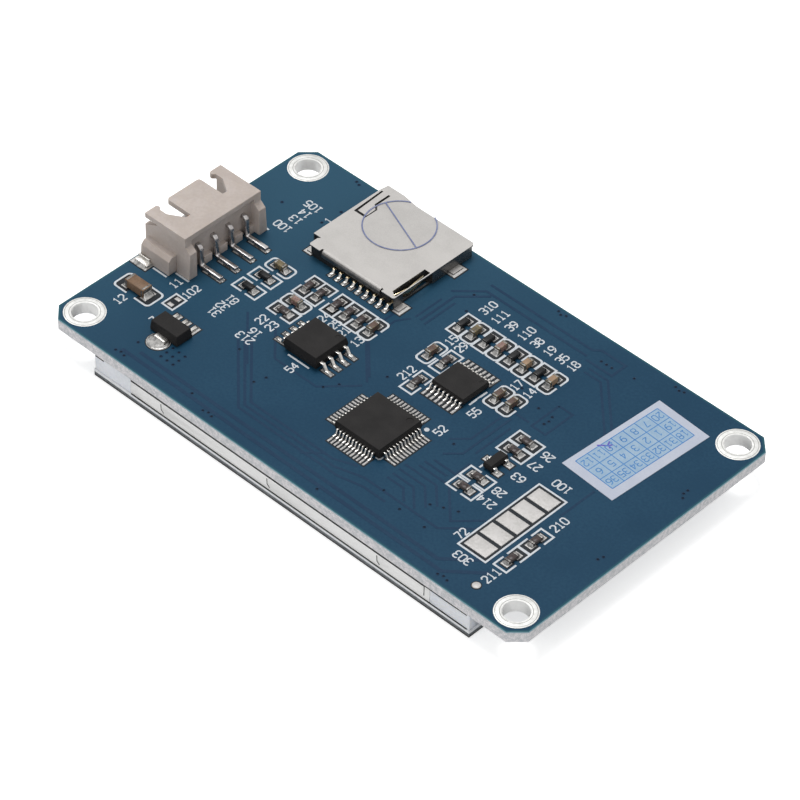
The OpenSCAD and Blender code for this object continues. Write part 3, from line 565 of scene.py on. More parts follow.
# painted shade: a darker copy of the shell sheet for the shell's steep sides
SHELL_SIDE_SHADE = Finish(
    "shell_side_painted_shade", (0.20, 0.195, 0.19), (0.12, 0.118, 0.115), roughness=0.3, metallic=0.85,
    rough_spread=0.06, grain_mm=0.3, patch_mm=2.5, relief_um=0.7,
)
SHELL = Finish(
    "shell_sheet", (0.44, 0.425, 0.41), (0.39, 0.377, 0.363), roughness=0.55, metallic=0.6,
    rough_spread=0.06, grain=Grain.ROLLED_Y, grain_mm=0.12, patch_mm=3.5, relief_um=0.7,
)
BASE_RESIN = Finish(
    "base_resin", (0.012, 0.012, 0.013), (0.03, 0.03, 0.03), roughness=0.5, specular=0.3,
    grain_mm=0.15, patch_mm=1.5, relief_um=6.0,
)
CONTACT = Finish(
    "gold_contact", (0.80, 0.66, 0.42), (0.62, 0.52, 0.36), roughness=0.25, metallic=1.0,
    grain=Grain.ROLLED_Y, grain_mm=0.15, patch_mm=1.0, relief_um=3.0,
)
EPOXY = Finish(
    "chip_epoxy", (0.0195, 0.0185, 0.0185), (0.028, 0.0265, 0.026), roughness=0.62, specular=0.1,
    rough_spread=0.08, grain_mm=0.07, patch_mm=2.2, relief_um=5.0,
)
CERAMIC_BULK = Finish(
    "bulk_ceramic", (0.235, 0.145, 0.088), (0.14, 0.084, 0.05), roughness=0.45, specular=0.25,
    grain_mm=0.1, patch_mm=1.6, relief_um=3.0,
)
CERAMIC_SAND = Finish(
    "capacitor_sand", (0.40, 0.265, 0.165), (0.29, 0.19, 0.12), roughness=0.45, specular=0.25,
    grain_mm=0.1, patch_mm=0.9, relief_um=3.0,
)
CERAMIC_ROSE = Finish(
    "capacitor_rose", (0.33, 0.225, 0.195), (0.17, 0.085, 0.07), roughness=0.45, specular=0.25,
    grain_mm=0.1, patch_mm=0.6, relief_um=3.0,
)
CERAMIC_OLIVE = Finish(
    "capacitor_olive", (0.21, 0.165, 0.085), (0.07, 0.06, 0.045), roughness=0.45, specular=0.25,
    grain_mm=0.1, patch_mm=0.5, relief_um=3.0,
)
CERAMIC_BROWN = Finish(
    "capacitor_brown", (0.14, 0.085, 0.065), (0.075, 0.05, 0.042), roughness=0.42, specular=0.25,
    grain_mm=0.1, patch_mm=0.6, relief_um=3.0,
)
ALUMINA = Finish(
    "resistor_alumina", (0.10, 0.085, 0.08), (0.06, 0.05, 0.048), roughness=0.55, specular=0.3,
    grain_mm=0.1, patch_mm=0.6, relief_um=6.0,
)
GLAZE = Finish(
    "resistor_glaze", (0.014, 0.012, 0.013), (0.075, 0.05, 0.048), roughness=0.32, specular=0.3,
    grain_mm=0.25, patch_mm=0.45, relief_um=3.0,
)
DIODE_RESIN = Finish(
    "diode_resin", (0.008, 0.009, 0.010), (0.018, 0.018, 0.019), roughness=0.45, specular=0.18,
    grain_mm=0.1, patch_mm=0.6, relief_um=6.0,
)
TERMINAL = Finish(
    "chip_terminal", (0.27, 0.26, 0.245), (0.075, 0.072, 0.07), roughness=0.36, metallic=0.8,
    rough_spread=0.12, grain_mm=0.2, patch_mm=0.4, relief_um=5.0,
)
PAPER = Finish(
    "label_paper", (0.51, 0.55, 0.65), (0.56, 0.595, 0.685), roughness=0.7, specular=0.2,
    grain_mm=0.25, patch_mm=3.0, relief_um=6.0,
)
PALE_INK = Finish(
    "label_ink", (0.055, 0.20, 0.50), (0.10, 0.28, 0.58), roughness=0.6, specular=0.2,
    grain_mm=0.15, patch_mm=0.9, relief_um=2.0,
)
CELL_INK = Finish(
    "label_cells", (0.31, 0.45, 0.60), (0.38, 0.51, 0.64), roughness=0.65, specular=0.2,
    grain_mm=0.2, patch_mm=1.6, relief_um=2.0,
)
PEN_INK = Finish(
    "pen_ink", (0.10, 0.07, 0.42), (0.16, 0.12, 0.52), roughness=0.45, specular=0.3,
    grain_mm=0.1, patch_mm=0.4, relief_um=2.0,
)
STAMP_INK = Finish(
    "stamp_ink", (0.15, 0.18, 0.34), (0.26, 0.29, 0.44), roughness=0.5, specular=0.2,
    grain_mm=0.15, patch_mm=1.4, relief_um=1.0,
)
SEAL_FILM = Finish(
    "seal_film", (0.62, 0.61, 0.61), (0.56, 0.56, 0.58), roughness=0.6, specular=0.05,
    rough_spread=0.06, grain_mm=0.3, patch_mm=2.5, relief_um=0.6, clear=0.94,
)
FRAME_PLASTIC = Finish(
    "frame_plastic", (0.88, 0.90, 0.94), (0.80, 0.83, 0.88), roughness=0.45, specular=0.35,
    grain_mm=0.4, patch_mm=3.0, relief_um=5.0, glow=0.15, glow_mm=0.4,
)
TRAY_STEEL = Finish(
    "tray_steel", (0.97, 0.97, 0.96), (0.90, 0.90, 0.89), roughness=0.42, metallic=0.1,
    rough_spread=0.08, grain=Grain.ROLLED_X, grain_mm=0.12, patch_mm=5.0, relief_um=1.5,
)
GASKET = Finish(
    "gasket_foam", (0.92, 0.93, 0.95), (0.84, 0.86, 0.89), roughness=0.75, specular=0.2,
    grain_mm=0.12, patch_mm=2.0, relief_um=14.0,
)
TAPE = Finish(
    "black_tape", (0.008, 0.009, 0.011), (0.02, 0.021, 0.024), roughness=0.6, specular=0.2,
    grain_mm=0.12, patch_mm=2.0, relief_um=8.0,
)
# painted shadow: a dark sheet for the shade in the gaps between the panel's layers
SHADOW_SEAM = Finish(
    "painted_shadow_seam", (0.035, 0.035, 0.037), (0.06, 0.06, 0.062), roughness=0.7, specular=0.1,
    grain_mm=0.12, patch_mm=2.0, relief_um=4.0,
)
TOUCH_EDGE = Finish(
    "touch_glass", (0.10, 0.115, 0.125), (0.22, 0.24, 0.25), roughness=0.22, specular=0.5,
    grain=Grain.ROLLED_X, grain_mm=0.25, patch_mm=4.0, relief_um=6.0,
)
TOUCH_FACE = WindowFinish(
    "touch_face", (0.012, 0.012, 0.014), (0.018, 0.018, 0.02), roughness=0.16, specular=0.5,
    rough_spread=0.04, grain_mm=0.5, patch_mm=8.0, relief_um=0.4, coat=0.4,
)
POLARISER = Finish(
    "polariser_film", (0.02, 0.02, 0.024), (0.03, 0.03, 0.036), roughness=0.3, specular=0.4,
    grain_mm=0.2, patch_mm=5.0, relief_um=0.5,
)
CELL_GLASS = Finish(
    "cell_glass", (0.16, 0.19, 0.21), (0.24, 0.27, 0.28), roughness=0.1, specular=0.5,
    rough_spread=0.03, grain_mm=0.4, patch_mm=6.0, relief_um=0.4,
)
SILICON = Finish(
    "driver_silicon", (0.05, 0.05, 0.06), (0.09, 0.08, 0.10), roughness=0.18, metallic=0.3,
    grain_mm=0.1, patch_mm=1.0, relief_um=0.6,
)
GUIDE = Finish(
    "light_guide", (0.74, 0.80, 0.84), (0.82, 0.86, 0.88), roughness=0.15, specular=0.5,
    rough_spread=0.05, grain_mm=0.25, patch_mm=3.0, relief_um=3.0,
)
LED = Finish(
    "led_housing", (0.78, 0.76, 0.56), (0.84, 0.83, 0.74), roughness=0.5, specular=0.3,
    grain_mm=0.15, patch_mm=0.8, relief_um=5.0,
)
FLEX = StripedFinish(
    "flex_film", (0.40, 0.16, 0.03), (0.22, 0.075, 0.015), roughness=0.25, specular=0.45,
    grain_mm=0.4, patch_mm=3.0, relief_um=1.5, coat=0.2,
)


def dress(node: str, finish: Finish) -> None:
    """Gives a CAD node, which keeps its shape, its material.

    Args:
        node: the CAD node's name.
        finish: its material.
    """
    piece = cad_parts[node]
    piece.data.materials.clear()
    piece.data.materials.append(finish.material())
    LOG.info("dressed %s with %s", node, finish.name)


# ---------------------------------------------------------------- meshes


class Forge:
    """Gathers shapes of several finishes into one mesh piece."""

    def __init__(self, name: str) -> None:
        """Starts an empty piece.

        Args:
            name: the piece's name.
        """
        self.name = name
        self.laid = 0
        self.bm = bmesh.new()
        self.finishes: list[Finish] = []

    def slot(self, finish: Finish) -> int:
        """Finds the place of a finish among the piece's materials.

        Args:
            finish: the finish, which is added where it is new.

        Returns:
            Its place, from 0.
        """
        if finish not in self.finishes:
            self.finishes.append(finish)
        return self.finishes.index(finish)

    def prism(self, outline: Sequence[Vector], height: float, finish: Finish) -> list[bmesh.types.BMFace]:
        """Raises a flat outline into a prism.

        Args:
            outline: the corners at the bottom, anticlockwise from above.
            height: the prism's height, in metres.
            finish: its material.

        Returns:
            The new faces.
        """
        low = [self.bm.verts.new(p) for p in outline]
        high = [self.bm.verts.new(p + Vector((0, 0, height))) for p in outline]
        faces = [self.bm.faces.new(high), self.bm.faces.new(low[::-1])]
        for i in range(len(low)):
            j = (i + 1) % len(low)
            faces.append(self.bm.faces.new((low[i], low[j], high[j], high[i])))
        for face in faces:
            face.material_index = self.slot(finish)
        return faces

    def rings(self, loops: Sequence[Sequence[Vector]], finish: Finish, close_top: bool = True,
              close_bottom: bool = True, smooth: bool = True) -> None:
        """Joins loops of equally many corners into a skin.

        Args:
            loops: the loops from the bottom up.
            finish: the skin's material.
            close_top: whether the last loop gets a face.
            close_bottom: whether the first loop gets a face.
            smooth: whether light runs softly over its edges.
        """
        index = self.slot(finish)
        rows = [[self.bm.verts.new(p) for p in loop] for loop in loops]
        for low, high in zip(rows, rows[1:]):
            for i in range(len(low)):
                j = (i + 1) % len(low)
                face = self.bm.faces.new((low[i], low[j], high[j], high[i]))
                face.material_index = index
                face.smooth = smooth
        if close_top:
            face = self.bm.faces.new(rows[-1])
            face.material_index = index
            face.smooth = smooth
        if close_bottom:
            self.bm.faces.new(rows[0][::-1]).material_index = index

    def slab(self, box: Box, radius: float, crown: float, finish: Finish) -> None:
        """Adds a slab with round corners and a rounded, crowned top.

        Args:
            box: the slab's box up to its edge, in metres.
            radius: the corners' radius.
            crown: how far the middle stands over the edge.
            finish: its material.
        """
        steps = [(0.0, 0.0), (0.0, 0.55), (0.12, 0.85), (0.35, 1.0)]
        height = box.size.z
        loops = [
            round_outline(box, radius, inset * radius, box.low.z + lift * height)
            for inset, lift in steps
        ]
        inner = min(box.size.x, box.size.y) / 2
        for share in (0.25, 0.5, 0.75):
            lift = crown * math.sin(share * math.pi / 2)
            loops.append(round_outline(box, radius, 0.35 * radius + share * (inner - 0.4 * radius) * 0.9,
                                       box.high.z + lift))
        self.rings(loops, finish)

    def layer(self) -> float:
        """The next hair's breadth of height, so that crossing shapes never share a plane."""
        self.laid += 1
        return (self.laid % LAYERS) * LAYER

    def strip(self, points: Sequence[Point], width: float, z: float, height: float, finish: Finish) -> None:
        """Adds a flat strip along a line in plan, mitred at its bends.

        Args:
            points: the line, in millimetres.
            width: the strip's width, in millimetres.
            z: the height of its underside, in metres.
            height: its thickness, in metres.
            finish: its material.
        """
        left = offset_line(points, width / 2)
        right = offset_line(points, -width / 2)
        top = z + height + self.layer()
        sections = [
            [Vector((x * MM, y * MM, level)) for (x, y), level in ((r, z), (l, z), (l, top), (r, top))]
            for l, r in zip(left, right)
        ]
        self.rings(sections, finish, smooth=False)

    def disc(self, at: Point, radius: float, z: float, height: float, finish: Finish, inner: float = 0.0,
             sides: int = 24) -> None:
        """Adds a disc, or a ring where it has an inner radius.

        Args:
            at: its middle on the board, in millimetres.
            radius: its outer radius, in millimetres.
            z: its underside, in metres.
            height: its thickness, in metres.
            finish: its material.
            inner: its inner radius, in millimetres.
            sides: the corners of its outline.
        """
        turn = [2 * math.pi * k / sides for k in range(sides)]

        def circle(r: float, level: float) -> list[Vector]:
            """Places the corners of a circle round the disc's middle.

            Args:
                r: its radius, in millimetres.
                level: its height, in metres.

            Returns:
                The corners.
            """
            return [
                Vector(((at[0] + r * math.cos(a)) * MM, (at[1] + r * math.sin(a)) * MM, level))
                for a in turn
            ]

        if inner:
            self.rings(
                [circle(inner, z), circle(radius, z), circle(radius, z + height), circle(inner, z + height),
                 circle(inner, z)],
                finish, close_top=False, close_bottom=False,
            )
        else:
            self.rings(
                [circle(radius, z), circle(radius, z + 0.6 * height), circle(radius * 0.9, z + height)],
                finish,
            )

    def piece(self, replaced: Iterable[str] = (), slot: Optional[str] = None) -> Piece:
        """Turns the gathered shapes into a piece that rides on the module.

        Args:
            replaced: the CAD nodes that it stands for.
            slot: not used.

        Returns:
            The finished object.
        """
        bmesh.ops.recalc_face_normals(self.bm, faces=self.bm.faces)
        return finish_piece(self.name, self.bm, self.finishes, replaced)


def finish_piece(name: str, bm: bmesh.types.BMesh, finishes: Sequence[Finish], replaced: Iterable[str] = ()) -> Piece:
    """Makes an object of a bmesh and ties it to the module.

    Args:
        name: the piece's name.
        bm: its mesh, which is freed.
        finishes: its materials, in the order of their slots.
        replaced: the CAD nodes that it stands for.

    Returns:
        The new object.
    """
    mesh = bpy.data.meshes.new(name)
    bm.to_mesh(mesh)
    bm.free()
    for finish in finishes:
        mesh.materials.append(finish.material())
    piece = bpy.data.objects.new(name, mesh)
    bpy.context.scene.collection.objects.link(piece)
    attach(piece, BODY)
    nodes = list(replaced)
    if nodes:
        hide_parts(*nodes)
    LOG.info("made %s with %d faces", name, len(mesh.polygons))
    return piece


def round_outline(box: Box, radius: float, inset: float, z: float, arc: int = 4) -> list[Vector]:
    """Outlines a rectangle with round corners.

    Args:
        box: the rectangle's box.
        radius: the corners' radius before the inset.
        inset: how far the outline is drawn in.
        z: the outline's height.
        arc: the steps of each corner.

    Returns:
        The corners, anticlockwise from above.
    """
    points = []
    r = max(radius - inset, 0.15 * radius)
    for k, (sx, sy) in enumerate([(1, 1), (-1, 1), (-1, -1), (1, -1)]):
        x = (box.high.x - inset - r) if sx > 0 else (box.low.x + inset + r)
        y = (box.high.y - inset - r) if sy > 0 else (box.low.y + inset + r)
        for step in range(arc + 1):
            a = (k + step / arc) * math.pi / 2
            points.append(Vector((x + r * math.cos(a), y + r * math.sin(a), z)))
    return points


def offset_line(points: Sequence[Point], distance: float) -> list[Point]:
    """Moves a line sideways, with mitred bends.

    Args:
        points: the line in plan.
        distance: how far to its left it goes.

    Returns:
        The moved line, point for point.
    """
    moved = []
    for i, point in enumerate(points):
        normals = []
        for a, b in ((i - 1, i), (i, i + 1)):
            if 0 <= a and b < len(points):
                dx, dy = points[b][0] - points[a][0], points[b][1] - points[a][1]
                length = math.hypot(dx, dy)
                normals.append((-dy / length, dx / length))
        nx, ny = (sum(n[k] for n in normals) / len(normals) for k in range(2))
        scale = distance / max(nx * nx + ny * ny, 0.3)
        moved.append((point[0] + nx * scale, point[1] + ny * scale))
    return moved


def softened(node: str, finish: Finish, width_mm: float, name: Optional[str] = None, segments: int = 2,
             choose: Optional[Callable[[bmesh.types.BMFace], int]] = None,
             others: Sequence[Finish] = (), smooth: bool = True) -> Piece:
    """Copies a CAD node and rounds its sharp edges.

    Args:
        node: the CAD node, which the copy replaces.
        finish: the copy's main material.
        width_mm: the width of the rounded edges.
        name: the piece's name, or the node's with an ending.
        segments: the steps of each rounded edge.
        choose: gives each face the place of its material.
        others: the further materials.
        smooth: whether light runs softly over its edges.

    Returns:
        The rounded piece.
    """
    bm = node_mesh(node)
    if choose:
        for face in bm.faces:
            face.material_index = choose(face)
    for face in bm.faces:
        face.smooth = smooth
    piece = finish_piece(name or f"{node}_finished", bm, [finish, *others], [node])
    bevel = piece.modifiers.new("rounded edges", "BEVEL")
    bevel.width = width_mm * MM
    bevel.segments = segments
    bevel.limit_method = "ANGLE"
    bevel.angle_limit = math.radians(32)
    bevel.harden_normals = smooth
    return piece


def solder_wedge(forge: Forge, foot: Vector, out: Point, width: float, reach: float, rise: float,
                 finish: Finish) -> None:
    """Adds a solder fillet that climbs a metal face from its pad.

    Args:
        forge: the piece that it belongs to.
        foot: the middle of the face's lower edge, in metres.
        out: the direction away from the face, in plan.
        width: its width along the face, in metres.
        reach: how far it runs out on the pad.
        rise: how high it climbs.
        finish: its material.
    """
    side = (-out[1], out[0])
    loops = []
    for share in (0.0, 0.12, 0.3, 0.55, 0.8, 1.0):
        run = reach * (1 - share) ** 1.8 + 0.02 * MM
        half = width / 2 * (1 - 0.3 * share)
        shape = [(-0.06 * MM, -half), (run * 0.6, -half), (run * 0.92, -half * 0.7), (run, 0.0),
                 (run * 0.92, half * 0.7), (run * 0.6, half), (-0.06 * MM, half)]
        loops.append(
            [
                foot + Vector((out[0] * u + side[0] * v, out[1] * u + side[1] * v, rise * share))
                for u, v in shape
            ]
        )
    forge.rings(loops, finish)


def rounded_block(forge: Forge, low: Vector, high: Vector, radius: float, finish: Finish,
                  steps: int = 2) -> None:
    """Adds a block whose edges are all rounded.

    Args:
        forge: the piece that it belongs to.
        low: its lowest corner, in metres.
        high: its highest corner.
        radius: the radius of its edges.
        finish: its material.
        steps: the steps of each rounded edge.
    """
    size = high - low
    place = Matrix.Translation((low + high) / 2) @ Matrix.Diagonal((*size, 1))
    made = bmesh.ops.create_cube(forge.bm, size=1, matrix=place)
    edges = {edge for vert in made["verts"] for edge in vert.link_edges}
    faces = {face for vert in made["verts"] for face in vert.link_faces}
    for face in faces:
        face.material_index = forge.slot(finish)
        face.smooth = True
    bmesh.ops.bevel(
        forge.bm, geom=list(edges), offset=radius, segments=steps, profile=0.5, affect="EDGES"
    )


# ---------------------------------------------------------------- studio


@dataclass
class Studio:
    """The camera, the light and the pale floor."""

    lens: float = 187.8
    camera_mm: tuple[float, float, float] = (237.95, -256.68, 329.89)
    right: tuple[float, float, float] = (0.72032, 0.69341, 0.01798)
    down: tuple[float, float, float] = (0.48418, -0.48408, -0.72885)
    forward: tuple[float, float, float] = (-0.49669, 0.53371, -0.68443)
    key_power: float = 4.4
    fill_power: float = 1.1
    sky: float = 0.42
    floor_half: float = 2.5

    def build(self) -> None:
        """Makes the camera, the lamps, the world and the floor."""
        self.camera()
        self.lamp("key softbox", (-0.22, 0.16, 0.85), 0.4, self.key_power)
        self.lamp("fill softbox", (0.35, -0.75, 0.42), 0.6, self.fill_power)
        self.world()
        self.floor()
        bpy.context.scene.view_settings.view_transform = "Standard"
        LOG.info("made the studio")

    def camera(self) -> None:
        """Places the camera at the viewing angle."""
        camera = bpy.data.cameras.new("camera")
        camera.lens = self.lens
        camera.sensor_width = 36
        camera.clip_end = 20
        holder = bpy.data.objects.new("camera", camera)
        bpy.context.scene.collection.objects.link(holder)
        columns = [Vector(self.right), -Vector(self.down), -Vector(self.forward)]
        turn = Matrix(columns).transposed().to_4x4()
        holder.matrix_world = Matrix.Translation(Vector(self.camera_mm) * MM) @ turn
        bpy.context.scene.camera = holder

    def lamp(self, name: str, place: tuple[float, float, float], width: float, power: float) -> None:
        """Hangs one square softbox that points at the module.

        Args:
            name: the lamp's name.
            place: its place, in metres.
            width: its side.
            power: its power in watts.
        """
        light = bpy.data.lights.new(name, "AREA")
        light.shape = "SQUARE"
        light.size = width
        light.energy = power
        holder = bpy.data.objects.new(name, light)
        bpy.context.scene.collection.objects.link(holder)
        aim = (-Vector(place)).to_track_quat("-Z", "Y").to_matrix().to_4x4()
        holder.matrix_world = Matrix.Translation(Vector(place)) @ aim

    def background_share(self, graph: Graph) -> Socket:
        """Is 1 for rays from the camera and for reflections, otherwise 0.

        Args:
            graph: the node tree being filled.

        Returns:
            The share's socket.
        """
        path = graph.tree.nodes.new("ShaderNodeLightPath")
        seen = graph.maths("MAXIMUM", path.outputs["Is Camera Ray"], path.outputs["Is Glossy Ray"])
        return graph.maths("MAXIMUM", seen, path.outputs["Is Transmission Ray"])

    def world(self) -> None:
        """Makes a white world that lights the module softly."""
        world = bpy.data.worlds.new("studio")
        bpy.context.scene.world = world
        world.use_nodes = True
        world.node_tree.nodes.clear()
        graph = Graph(world.node_tree)
        seen = self.background_share(graph)
        strength = graph.ranged(seen, 0, 1, self.sky, 1.0)
        shader = graph.add("ShaderNodeBackground", {"Color": (1, 1, 1, 1), "Strength": strength})
        graph.show(shader, "ShaderNodeOutputWorld")

    def floor(self) -> None:
        """Lays a plain pale floor that keeps the shadow."""
        bm = bmesh.new()
        bmesh.ops.create_grid(bm, x_segments=1, y_segments=1, size=self.floor_half)
        mesh = bpy.data.meshes.new("floor")
        bm.to_mesh(mesh)
        bm.free()
        floor = bpy.data.objects.new("floor", mesh)
        floor.location.z = -0.02 * MM
        bpy.context.scene.collection.objects.link(floor)
        material = bpy.data.materials.new("floor")
        material.use_nodes = True
        material.node_tree.nodes.clear()
        graph = Graph(material.node_tree)
        noise = graph.noise(graph.place(), 3.0)
        colour = graph.blended(noise, (0.9, 0.9, 0.9, 1), (0.92, 0.92, 0.92, 1))
        path = graph.tree.nodes.new("ShaderNodeLightPath")
        lift = graph.maths("MULTIPLY", path.outputs["Is Camera Ray"], 0.6)
        shader = graph.add(
            "ShaderNodeBsdfPrincipled",
            {"Base Color": colour, "Roughness": 0.9, "Specular IOR Level": 0.1,
             "Emission Color": (1, 1, 1, 1), "Emission Strength": lift},
        )
        graph.show(shader)
        mesh.materials.append(material)


# ---------------------------------------------------------------- board


def pads() -> list[Box]:
    """The tinned pads of the board's top, which are the solids of the pads' node that lie on it."""
    return [b for b in solids_of("solder_pads") if b.low.z > BOARD_TOP - 0.01 * MM]


@dataclass
class CircuitBoard:
    """The laminate with its mask, tracks, vias and mask openings."""

    track_lift: float = 0.010
    open_lift: float = 0.016
    open_margin: float = 0.17
    via_land: float = 0.25
    via_plug: float = 0.17
    tracks: Sequence[tuple[float, Sequence[Point]]] = (
        (0.34, ((-17.2, -7.9), (-9.6, -15.5), (3.4, -15.5), (6.2, -14.4))),
        (0.34, ((-17.7, -8.5), (-9.8, -16.3), (4.4, -16.3), (8.0, -15.2), (19.3, -15.2), (26, -9))),
        (0.34, ((-18.2, -9.1), (-10.0, -17.1), (5.6, -17.1), (9.0, -16.3), (12.4, -16.3))),
        (0.5, ((-24.6, -18.6), (22.6, -18.6), (27.0, -14.6))),
        (0.5, ((-26.5, -19.7), (24.2, -19.7), (28.2, -16.2))),
        (0.3, ((-16.6, -4.6), (-12.9, -8.4), (-6.2, -8.4), (-2.6, -4.6))),
        (0.3, ((-20.8, -5.0), (-14.5, -11.3))),
        (0.35, ((-4.0, 18.5), (12.0, 18.5), (12.8, 19.2), (16.5, 19.2), (16.5, 16.8), (12.6, 16.8))),
        (0.35, ((-6.6, 14.4), (-3.6, 17.3), (12.2, 17.3))),
        (0.35, ((-5.6, 8.2), (-5.6, 14.0), (-2.6, 17.0))),
        (0.3, ((-4.8, 8.0), (-4.8, 13.2))),
        (0.3, ((-6.4, 8.2), (-6.4, 12.6))),
        (0.3, ((13.8, 15.9), (16.7, 15.9), (23.4, 9.2))),
        (0.3, ((13.8, 15.1), (16.3, 15.1), (22.6, 8.8))),
        (0.3, ((15.6, 8.8), (17.7, 8.8), (17.7, 4.2), (15.6, 4.2), (15.6, 8.8))),
        (0.3, ((9.8, -10.4), (14.6, -10.4), (17.0, -12.8))),
        (0.3, ((9.8, -11.4), (13.8, -11.4), (16.2, -13.8))),
        (0.3, ((9.8, -12.4), (13.0, -12.4), (15.4, -14.8))),
        (0.3, ((9.8, -13.3), (12.3, -13.3), (13.8, -14.8))),
        (0.3, ((11.0, -9.4), (15.6, -9.4), (19.6, -13.4), (22.3, -10.6))),
        (0.3, ((11.0, -8.5), (14.4, -8.5))),
        (0.3, ((11.6, -7.6), (14.9, -7.6), (14.9, -5.2))),
        (0.3, ((13.2, 3.4), (13.2, -4.6), (11.6, -6.2))),
        (0.3, ((12.2, 2.8), (12.2, -2.2), (10.4, -4.0))),
        (0.3, ((14.2, 2.2), (14.2, -3.6))),
        (0.3, ((12.6, 4.4), (15.0, 4.4))),
        (0.3, ((27.7, 1.4), (27.7, -4.2))),
        (0.3, ((-3.0, -3.0), (-8.6, 2.6), (-8.6, 7.0))),
        (0.3, ((-2.6, -3.8), (-7.6, 1.2), (-7.6, 6.0), (-6.6, 7.6))),
        (0.3, ((0.2, -17.4), (2.2, -15.4))),
    )
    vias: Sequence[Point] = (
        (4.7, 20.7), (5.3, 20.4), (5.9, 20.7), (22.9, 20.6), (23.6, 20.4), (24.2, 20.6), (14.0, 17.8),
        (14.8, 17.8), (15.6, 17.8), (18.6, 18.3), (10.6, 8.0), (14.2, 6.9), (16.4, 5.4), (16.5, 6.1),
        (16.3, 6.9), (11.4, -4.2), (35.0, 8.1), (35.4, 7.5), (35.0, 8.8), (35.1, -6.3), (35.3, -5.6),
        (24.2, -20.3), (24.9, -20.1), (25.6, -20.3), (16.2, -13.1), (17.6, -12.4), (19.2, -11.7),
        (14.3, -16.0), (18.2, -16.1), (5.6, -20.2), (11.0, -15.1), (-22.4, -15.5), (-21.4, -15.5),
        (-20.4, -15.5), (-22.4, -16.5), (-21.4, -16.5), (-20.4, -16.5), (-22.4, -17.4), (-21.4, -17.4),
        (-20.4, -17.4), (-12.5, -20.3), (-11.8, -20.1), (-11.1, -20.3), (-26.9, -20.3), (-26.2, -20.1),
        (-25.5, -20.3), (-28.2, 20.7), (-27.6, 20.5), (-31.9, 11.7), (-25.9, 12.4), (-25.6, 15.4),
        (-4.6, -6.3), (-5.6, -7.9), (-11.3, -11.4), (-11.8, -12.9), (-4.2, 15.8), (-2.9, 13.1),
        (-16.9, -10.2), (-27.2, -3.4), (-26.0, -17.6), (-15.4, -19.2), (-1.6, -1.5), (9.0, 9.4),
    )

    def build(self) -> None:
        """Makes the laminate and what is printed and etched on it."""
        self.laminate()
        self.etch()
        self.openings()
        LOG.info("built the circuit board")

    def laminate(self) -> None:
        """Gives the laminate a masked top and underside, cut sides and slightly broken edges."""

        def kind(face: bmesh.types.BMFace) -> int:
            """Is 0 for the masked faces and 1 for the cut ones."""
            return 0 if abs(face.normal.z) > 0.7 else 1

        softened("circuit_board", MASK, 0.05, "laminate", 1, kind, (LAMINATE,), False)

    def etch(self) -> None:
        """Raises the tracks under the mask and drops the plugged vias among them."""
        forge = Forge("board_tracks")
        for width, line in self.tracks:
            forge.strip(line, width, BOARD_TOP, self.track_lift * MM, MASK_OVER_COPPER)
        for via in self.vias:
            land, plug = 1.6 * self.track_lift * MM, 2.0 * self.track_lift * MM
            forge.disc(via, self.via_land, BOARD_TOP, land, MASK_OVER_COPPER, 0.0, 16)
            forge.disc(via, self.via_plug, BOARD_TOP, plug, VIA, 0.0, 12)
        forge.piece(slot="board_blue")

    def openings(self) -> None:
        """Lays bare laminate round the pads, where the mask is left out."""
        forge = Forge("mask_openings")
        margin = self.open_margin * MM
        frames = solids_of("printed_outlines")
        for pad in pads():
            low, high = pad.low.copy(), pad.high.copy()
            if pad.round:
                at = (pad.centre.x / MM, pad.centre.y / MM)
                radius = pad.size.x / 2 / MM + 0.8 * self.open_margin
                forge.disc(at, radius, BOARD_TOP, self.open_lift * MM, BARE_LAMINATE, 0.0, 32)
                continue
            for axis in range(2):
                low[axis] = max(low[axis] - margin, BOARD.low[axis] + margin)
                high[axis] = min(high[axis] + margin, BOARD.high[axis] - margin)
            self.patch(forge, low, high, 0.0)
        for frame_box in frames:
            if not self.is_small(frame_box):
                continue
            inset = Vector((0.1 * MM, 0.1 * MM, 0))
            self.patch(forge, frame_box.low + inset, frame_box.high - inset, 0.2)
        forge.piece(slot="board_blue")

    def is_small(self, box: Box) -> bool:
        """Tells whether an outline goes round one chip, a stack of pads or the jumper."""
        return 1.0 * MM < min(box.size.x, box.size.y) < 5 * MM and box.size.x * box.size.y > 4 * MM * MM

    def patch(self, forge: Forge, low: Vector, high: Vector, drop: float) -> None:
        """Adds one flat patch of bare laminate.

        Args:
            forge: the piece that it belongs to.
            low: its lowest corner in plan.
            high: its highest corner in plan.
            drop: the share of its height that it stays under the others.
        """
        corners = [(low.x, low.y), (high.x, low.y), (high.x, high.y), (low.x, high.y)]
        height = self.open_lift * (1 - drop) * MM + forge.layer()
        forge.prism([Vector((x, y, BOARD_TOP)) for x, y in corners], height, BARE_LAMINATE)


